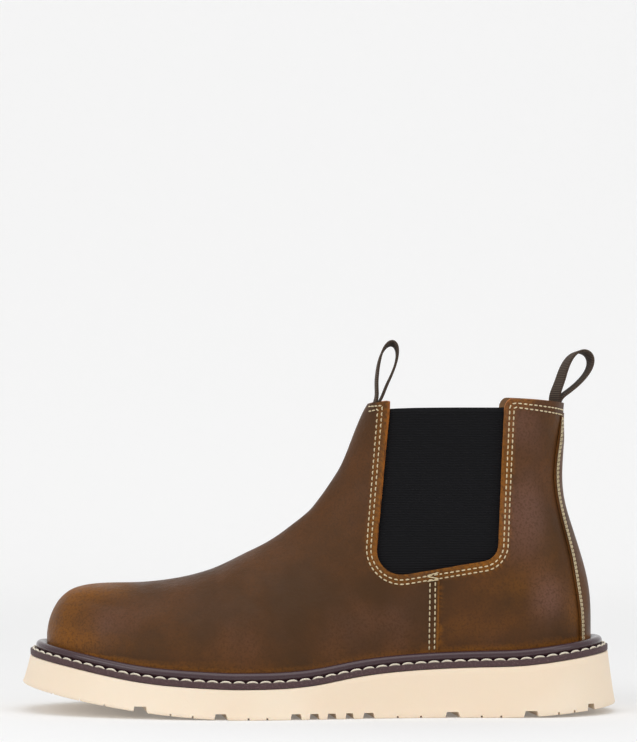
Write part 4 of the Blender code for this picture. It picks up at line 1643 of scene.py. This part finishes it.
@dataclass
class Welt:
    """Dark ring on the sole: a flat flange and a raised bead against the leather."""

    thick: float = 0.0030
    radius: float = 0.0026
    rise: float = 0.0024          # bead's middle over the flange's top
    bead_from: float = -62.0      # angles of the bead's arc, in degrees
    bead_to: float = 150.0
    bead_points: int = 20
    step_down: float = 0.0002     # from the end of the arc to the leather
    corner: float = 0.0004
    corner_points: int = 5
    stations: int = 240
    stitch_reach: float = 0.0069
    stitch_stations: int = 400

    def profile(self) -> tuple[Array, Array]:
        """Cross section: the flange with two rounded corners, then the bead's arc.

        Returns:
            Reach from the leather by height, and the material of the stretch from each point.
        """
        turn = np.linspace(0, QUARTER_TURN, self.corner_points)
        rise, run = self.corner * (1 - np.cos(turn)), self.corner * (1 - np.sin(turn))
        low = np.stack([LAST.reach - run, rise], axis=-1)
        high = np.stack([LAST.reach - rise, self.thick - run], axis=-1)
        angle = np.radians(np.linspace(self.bead_from, self.bead_to, self.bead_points))
        bead = np.stack([LAST.gap + self.radius * (1 + np.cos(angle)),
                         self.thick + self.rise + self.radius * np.sin(angle)], axis=-1)
        last = (LAST.gap, bead[-1, 1] - self.step_down)
        outline = np.concatenate([[(LAST.gap, 0.0)], low, high, bead, [last]])
        return outline, (np.arange(len(outline)) > len(low) + len(high)).astype(int)

    @staticmethod
    def ring(reach: float, height: float, stations: int) -> Array:
        """Ring on the sole's upper face at a reach from the leather and a height."""
        ring = LAST.ring(reach, stations)
        return np.column_stack([ring, LAST.sole_top(ring[:, 0]) + LAST.gap + height])

    def make(self, finishes: Finishes) -> Piece:
        """Ring whose section is the profile, laid on the sole's upper face."""
        outline, kinds = self.profile()
        grid = np.stack([self.ring(reach, height, self.stations) for reach, height in outline])
        faces = grid_faces(*grid.shape[:2], close_rows=True, close_columns=True)
        item = new_piece("welt_ring", grid.reshape(-1, 3), faces, replaces=("welt",),
                         kinds=np.repeat(kinds, grid.shape[1]))
        dress(item, finishes.edge, finishes.bead)
        return item

    def stitch(self, finishes: Finishes) -> Piece:
        """Thread along the flange, in the angle between flange and bead."""
        path = self.ring(self.stitch_reach, self.thick, self.stitch_stations)
        path = np.concatenate([path, path[:1]])
        work = StitchWork("welt_stitching", "welt")
        work.add(WELT_STITCH, path, np.broadcast_to((0.0, 0.0, 1.0), path.shape))
        return work.make(finishes.cord)


@dataclass
class Outsole:
    """Cream wedge: its wall flares out to the foot, and chevron grooves cross its underside."""

    # Middle and width of each groove and middle of each sipe, shares of the sole's length
    grooves: tuple = (
        (0.2095, 0.026), (0.340, 0.023), (0.4643, 0.020), (0.495, 0.018), (0.5244, 0.017),
        (0.5545, 0.015), (0.5872, 0.021), (0.7281, 0.026), (0.8577, 0.026), (0.9635, 0.015))
    sipes: tuple = (0.0707, 0.113, 0.152, 0.258, 0.294, 0.385, 0.416, 0.636, 0.675, 0.776,
                    0.808, 0.904, 0.932)
    depth: float = 0.0030
    sweep: float = 0.012          # of a chevron's point ahead of its ends
    shift: float = 0.0045         # brings the grooves' ends, at the sole's edge, to their places
    groove_taper: float = 0.26    # of a groove's width that its top is narrower on each side
    sipe_width: float = 0.0011
    sipe_depth: float = 0.0012
    sipe_taper: float = 0.10
    corner: float = 0.0007
    corner_points: int = 4
    top_corner: float = 0.0004
    wall_steps: int = 7
    hollow: float = 0.0002        # how far the wall bows in
    sharp: float = 40.0

    # Chevron seen from below: share of the width, side of the sole and share of the sweep of each
    # corner; then the faces of its prism, by corner number, lower corners first
    CHEVRON = np.array(((-.5, -1, 0), (-.5, 0, 1), (-.5, 1, 0), (.5, 1, 0), (.5, 0, 1), (.5, -1, 0)))
    PRISM = np.array(((4, 5, 0, 1), (1, 2, 3, 4), (10, 7, 6, 11), (7, 10, 9, 8), (0, 1, 7, 6),
                      (1, 2, 8, 7), (2, 3, 9, 8), (3, 4, 10, 9), (4, 5, 11, 10), (5, 0, 6, 11)))

    def bars(self) -> Piece:
        """Chevron bars that cut the grooves: each a bent prism under the sole, narrower upwards."""
        cuts = [(m, w * LAST.sole_length, self.depth, self.groove_taper) for m, w in self.grooves]
        cuts += [(m, self.sipe_width, self.sipe_depth, self.sipe_taper) for m in self.sipes]
        middle, width, depth, taper = np.array(cuts).T
        x = (middle - 0.5) * LAST.sole_length
        over_width, over_side, over_sweep = self.CHEVRON.T
        px = x[:, None] + self.shift + over_width * width[:, None] - over_sweep * self.sweep
        py = np.broadcast_to(over_side * LAST.ball, px.shape)
        narrow = (taper * width)[:, None] * over_width
        top = np.broadcast_to((LAST.underside(x) + depth)[:, None], px.shape)
        low = np.stack([px + narrow, py, np.full(px.shape, -self.depth)], axis=-1)
        high = np.stack([px - narrow, py, top], axis=-1)
        points = np.concatenate([low, high], axis=1)
        starts = np.arange(len(x)) * points.shape[1]
        faces = (self.PRISM[None] + starts[:, None, None]).reshape(-1, 4)
        points = points.reshape(-1, 3)
        turned = faces if volume(points, faces.tolist()) > 0 else faces[:, ::-1]
        mesh = bpy.data.meshes.new("bars")
        mesh.from_pydata(points.tolist(), [], turned.tolist())
        item = bpy.data.objects.new("bars", mesh)
        place_in_scene(item)
        return item

    def wall(self) -> list[tuple[float, float, float]]:
        """Rings of the wall from the seat to the underside.

        Returns:
            For each, its reach, its drop, and its share of the height between the sole's faces.
        """
        edge = LAST.reach - self.top_corner
        rings = [(0.0, 0.0, 1.0), (edge, 0.0, 1.0), (LAST.reach, self.top_corner, 1.0)]
        for share in np.linspace(0, 1, self.wall_steps + 1)[1:-1]:
            bow = self.hollow * math.sin(math.pi * share)
            rings.append((LAST.reach + LAST.flare * share - bow, 0.0, 1 - share))
        wide = LAST.reach + LAST.flare
        for angle in np.linspace(0, QUARTER_TURN, self.corner_points):
            inset = self.corner * (1 - math.cos(angle))
            rings.append((wide - inset, self.corner * (math.sin(angle) - 1), 0.0))
        return rings

    def make(self, finishes: Finishes) -> Piece:
        """Stack of rings from the seat down the wall, closed across in strips, then grooved."""
        rings = []
        for reach, drop, share in self.wall():
            ring = LAST.ring(reach)
            top, bottom = LAST.sole_top(ring[:, 0]), LAST.underside(ring[:, 0])
            rings.append(np.column_stack([ring, bottom + (top - bottom) * share - drop]))
        grid = np.stack(rings)
        rows, count = grid.shape[:2]
        faces = grid_faces(rows, count, close_columns=True).tolist()
        k = np.arange(count // 2)
        strip = np.stack([k, k + 1, (count - k - 1) % count, (count - k) % count], axis=-1)
        faces += strip.tolist() + (strip[:, ::-1] + (rows - 1) * count).tolist()
        item = new_piece("sole_wedge", grid.reshape(-1, 3), faces, sharp=self.sharp,
                         replaces=("outsole",))
        self.cut(item)
        dress(item, finishes.sole)
        return item

    def cut(self, item: Piece) -> None:
        """Take the bars out of the sole once, and keep the cut mesh."""
        bars = self.bars()
        groove = item.modifiers.new("grooves", "BOOLEAN")
        groove.operation = "DIFFERENCE"
        groove.solver = "EXACT"
        groove.object = bars
        view = bpy.context.evaluated_depsgraph_get()
        cut = bpy.data.meshes.new_from_object(item.evaluated_get(view))
        item.modifiers.clear()
        item.data = cut
        cut.set_sharp_from_angle(angle=math.radians(self.sharp))
        bpy.data.objects.remove(bars)


# Seams


@dataclass
class Seams:
    """Rows of stitching on the upper, each given as a line of the side view."""

    reaches: tuple[float, float] = (0.0027, 0.0049)     # rows round the windows, from the edge
    row_points: int = 500

    # Top of the rows: over the collar's height at the ridge, less shares of each row's reach
    head: float = 0.0022
    head_share: float = 0.92
    head_start: tuple[float, float] = (0.0006, -0.0002)
    head_slope: float = 0.25
    collar_points: int = 60

    # Rear tab: how far past the corner the rows follow the edge, then on to the back line
    tab_past: float = 0.0058
    tab_end: float = 0.0012
    tab_drop: tuple[float, float] = (0.0004, 1.25)      # there: least, and share of a row's reach
    tab_points: int = 20

    # Side seam: place of both rows, gap to the window and to the sole, and how far their feet lean
    seam_places: tuple[float, float] = (0.0575, 0.0602)
    seam_top: float = 0.0060
    seam_foot: float = 0.0090
    seam_slant: float = 0.0006

    # Knot where the side seam starts: drop below the window and slant of each stitch
    knot: tuple = ((0.0022, 0.0016), (0.0040, -0.0010), (0.0055, 0.0008))
    knot_ends: tuple[float, float, float] = (0.0562, 0.0590, 0.0618)
    knot_lift: float = 0.0005

    # Back strip: rows behind its front edge, and gaps to its foot and top
    strip_insets: tuple[float, float] = (0.0004, 0.0011)
    strip_ends: tuple[float, float] = (0.004, 0.002)
    strip_points: int = 160

    def __post_init__(self) -> None:
        """Start the piece that the rows are added to."""
        self.work = StitchWork("top_stitching", "webbing")

    def line(self, path: Array, side: Side, lift: float = 0.0, stitch: Stitch = TOP_STITCH) -> None:
        """Lay a row along a side view line, over the vamp's lap and lifted off the leather.

        Args:
            path: points of the line.
            side: side of the foot.
            lift: height over the leather.
            stitch: size of stitch.
        """
        x, z = resample(np.asarray(path, float), self.row_points).T
        points, out = LAST.on_side(x, z, side)
        self.work.add(stitch, points + out * (lift + LAP.height(x, z))[:, None], out)

    def round_window(self, side: Side) -> None:
        """Rows from the ridge down, round the window, and along the rear tab to the back line."""
        collar = LAST.surface(LAST.top_place, np.linspace(0, 1, self.collar_points), 0.0)
        ridge, back = collar[-1, 0], collar[0, 0]
        ahead, down = self.head_start
        least, share = self.tab_drop
        for reach in self.reaches:
            row = offset_path(WINDOW.edge, -reach)
            top = WINDOW.collar + self.head - self.head_share * reach
            row = row[int(np.argmax(row[:, 1] < top)):]
            row = row[row[:, 0] < WINDOW.points[3, 0] + self.tab_past]
            head = [(ridge + ahead, top + down - self.head_slope * reach)]
            x = np.linspace(row[-1, 0] + MM, back - self.tab_end, self.tab_points)
            z = np.interp(x, collar[::-1, 0], collar[::-1, 2])
            z += np.interp(x, [x[0], x[-1]], [row[-1, 1] - z[0], -share * reach - least])
            self.line(np.concatenate([head, row, np.stack([x, z], axis=-1)]), side)

    def side_seam(self, side: Side) -> None:
        """Two rows ahead of the vamp's edge, and the knot where they start at the window."""
        for x in self.seam_places:
            top = (x, WINDOW.foot(x) - self.seam_top)
            self.line((top, (x - self.seam_slant, LAST.sole_top(x) + self.seam_foot)), side)
        start, middle, end = self.knot_ends
        for drop, run in self.knot:
            z = WINDOW.foot(middle) - drop
            self.line(((start, z - run / 2), (end, z + run / 2)), side, self.knot_lift, BACK_STITCH)

    def strip_edge(self, side: Side, strip: BackStrip) -> None:
        """Braided pair of rows just behind the back strip's front edge."""
        low, high = self.strip_ends
        z = np.linspace(strip.bottom + low, strip.top - high, self.strip_points)
        for inset in self.strip_insets:
            points, out = LAST.on_side(strip.edge_x(z) + inset, z, side)
            self.work.add(BACK_STITCH, points + out * strip.height(z)[:, None], out)

    def make(self, strip: BackStrip, finishes: Finishes) -> Piece:
        """Every row on both sides, as one piece of thread."""
        for side in Side:
            self.round_window(side)
            self.side_seam(side)
            self.strip_edge(side, strip)
        return self.work.make(finishes.thread)


# Studio


@dataclass(frozen=True)
class Softbox:
    """Square soft light: its place, its tilt and turn in degrees, its side and its power."""

    name: str
    place: tuple[float, float, float]
    tilt: float
    turn: float
    size: float
    power: float

    def light(self) -> None:
        """Hang the light."""
        light = bpy.data.lights.new(self.name, "AREA")
        light.size = self.size
        light.energy = self.power
        lamp = bpy.data.objects.new(self.name, light)
        lamp.location = self.place
        lamp.rotation_euler = (math.radians(self.tilt), 0.0, math.radians(self.turn))
        place_in_scene(lamp)


@dataclass
class Studio:
    """Pale floor that sweeps up behind, soft light from above and the photograph's camera."""

    softboxes: tuple[Softbox, ...] = (
        Softbox("softbox_top", (0.0, -0.35, 1.3), 15.0, 0.0, 1.3, 7.0),
        Softbox("softbox_left", (-1.2, -1.0, 0.8), 62.0, -50.0, 0.9, 5.0),
        Softbox("softbox_right", (1.2, -1.0, 0.8), 62.0, 50.0, 0.9, 3.5))
    room_light: float = 0.62
    half_floor: float = 5.0
    floor_from: float = -4.0
    sweep_from: float = 1.2
    sweep_radius: float = 0.8
    sweep_points: int = 16
    sweep_top: float = 4.0
    paper: float = 0.76
    paper_roughness: float = 0.95
    glow: Ramp = Ramp(0.15, 1.6, 0.120, 0.292)          # of the paper, from near to far
    camera_place: tuple[float, float, float] = (0.0, -2.050, 0.1775)
    lens: float = 190.24
    sensor: float = 36.0

    def floor(self) -> None:
        """Sheet of paper: level, then a quarter circle up to a wall."""
        turn = np.linspace(0, QUARTER_TURN, self.sweep_points)
        bend = np.stack([self.sweep_from + self.sweep_radius * np.sin(turn),
                         self.sweep_radius * (1 - np.cos(turn))], axis=-1)
        wall = (self.sweep_from + self.sweep_radius, self.sweep_top)
        line = np.concatenate([[(self.floor_from, 0.0)], bend, [wall]])
        grid = np.stack([np.column_stack([np.full(len(line), x), line])
                         for x in (-self.half_floor, self.half_floor)])
        mesh = bpy.data.meshes.new("floor")
        mesh.from_pydata(grid.reshape(-1, 3).tolist(), [], grid_faces(2, len(line))[:, ::-1].tolist())
        mesh.shade_smooth()
        mesh.materials.append(self.paper_material())
        sheet = bpy.data.objects.new("floor", mesh)
        place_in_scene(sheet)

    def paper_material(self) -> Material:
        """Matte white paper that glows a little more with its distance from the camera."""
        s = Shader("paper")
        depth = s.node("ShaderNodeSeparateXYZ", {0: s.place()}).outputs["Y"]
        s.base(Base_Color=(self.paper, self.paper, self.paper, 1.0), Roughness=self.paper_roughness,
               Specular_IOR_Level=0.0, Emission_Color=(1.0, 1.0, 1.0, 1.0),
               Emission_Strength=s.spread(depth, self.glow))
        return s.material

    def room(self) -> None:
        """Even white light from all round."""
        world = bpy.data.worlds.new("room")
        world.use_nodes = True
        background = world.node_tree.nodes["Background"]
        background.inputs["Color"].default_value = (1.0, 1.0, 1.0, 1.0)
        background.inputs["Strength"].default_value = self.room_light
        bpy.context.scene.world = world

    def camera(self) -> None:
        """Level camera at the photograph's place."""
        view = bpy.data.cameras.new("photo_view")
        view.lens = self.lens
        view.sensor_width = self.sensor
        camera = bpy.data.objects.new("photo_view", view)
        camera.location = self.camera_place
        camera.rotation_euler = (QUARTER_TURN, 0.0, 0.0)
        place_in_scene(camera)
        bpy.context.scene.camera = camera
        bpy.context.scene.view_settings.view_transform = "Standard"

    def make(self) -> None:
        """Floor, light and camera."""
        self.floor()
        self.room()
        for softbox in self.softboxes:
            softbox.light()
        self.camera()


def main() -> None:
    """Build every sub-assembly from the floor up and report each piece."""
    logging.basicConfig(level=logging.INFO, format="%(name)s: %(message)s")
    finishes = Finishes()
    welt = Welt()
    strip = BackStrip()
    Outsole().make(finishes)
    welt.make(finishes)
    Insole().make(finishes)
    Upper().make(finishes)
    for side in Side:
        VampLap().make(side, finishes)
    for side in Side:
        Gore().make(side, finishes)
    strip.make(finishes)
    FRONT_LOOP.make(finishes)
    REAR_LOOP.make(finishes)
    Seams().make(strip, finishes)
    welt.stitch(finishes)
    Studio().make()


if __name__ == "__main__":
    main()
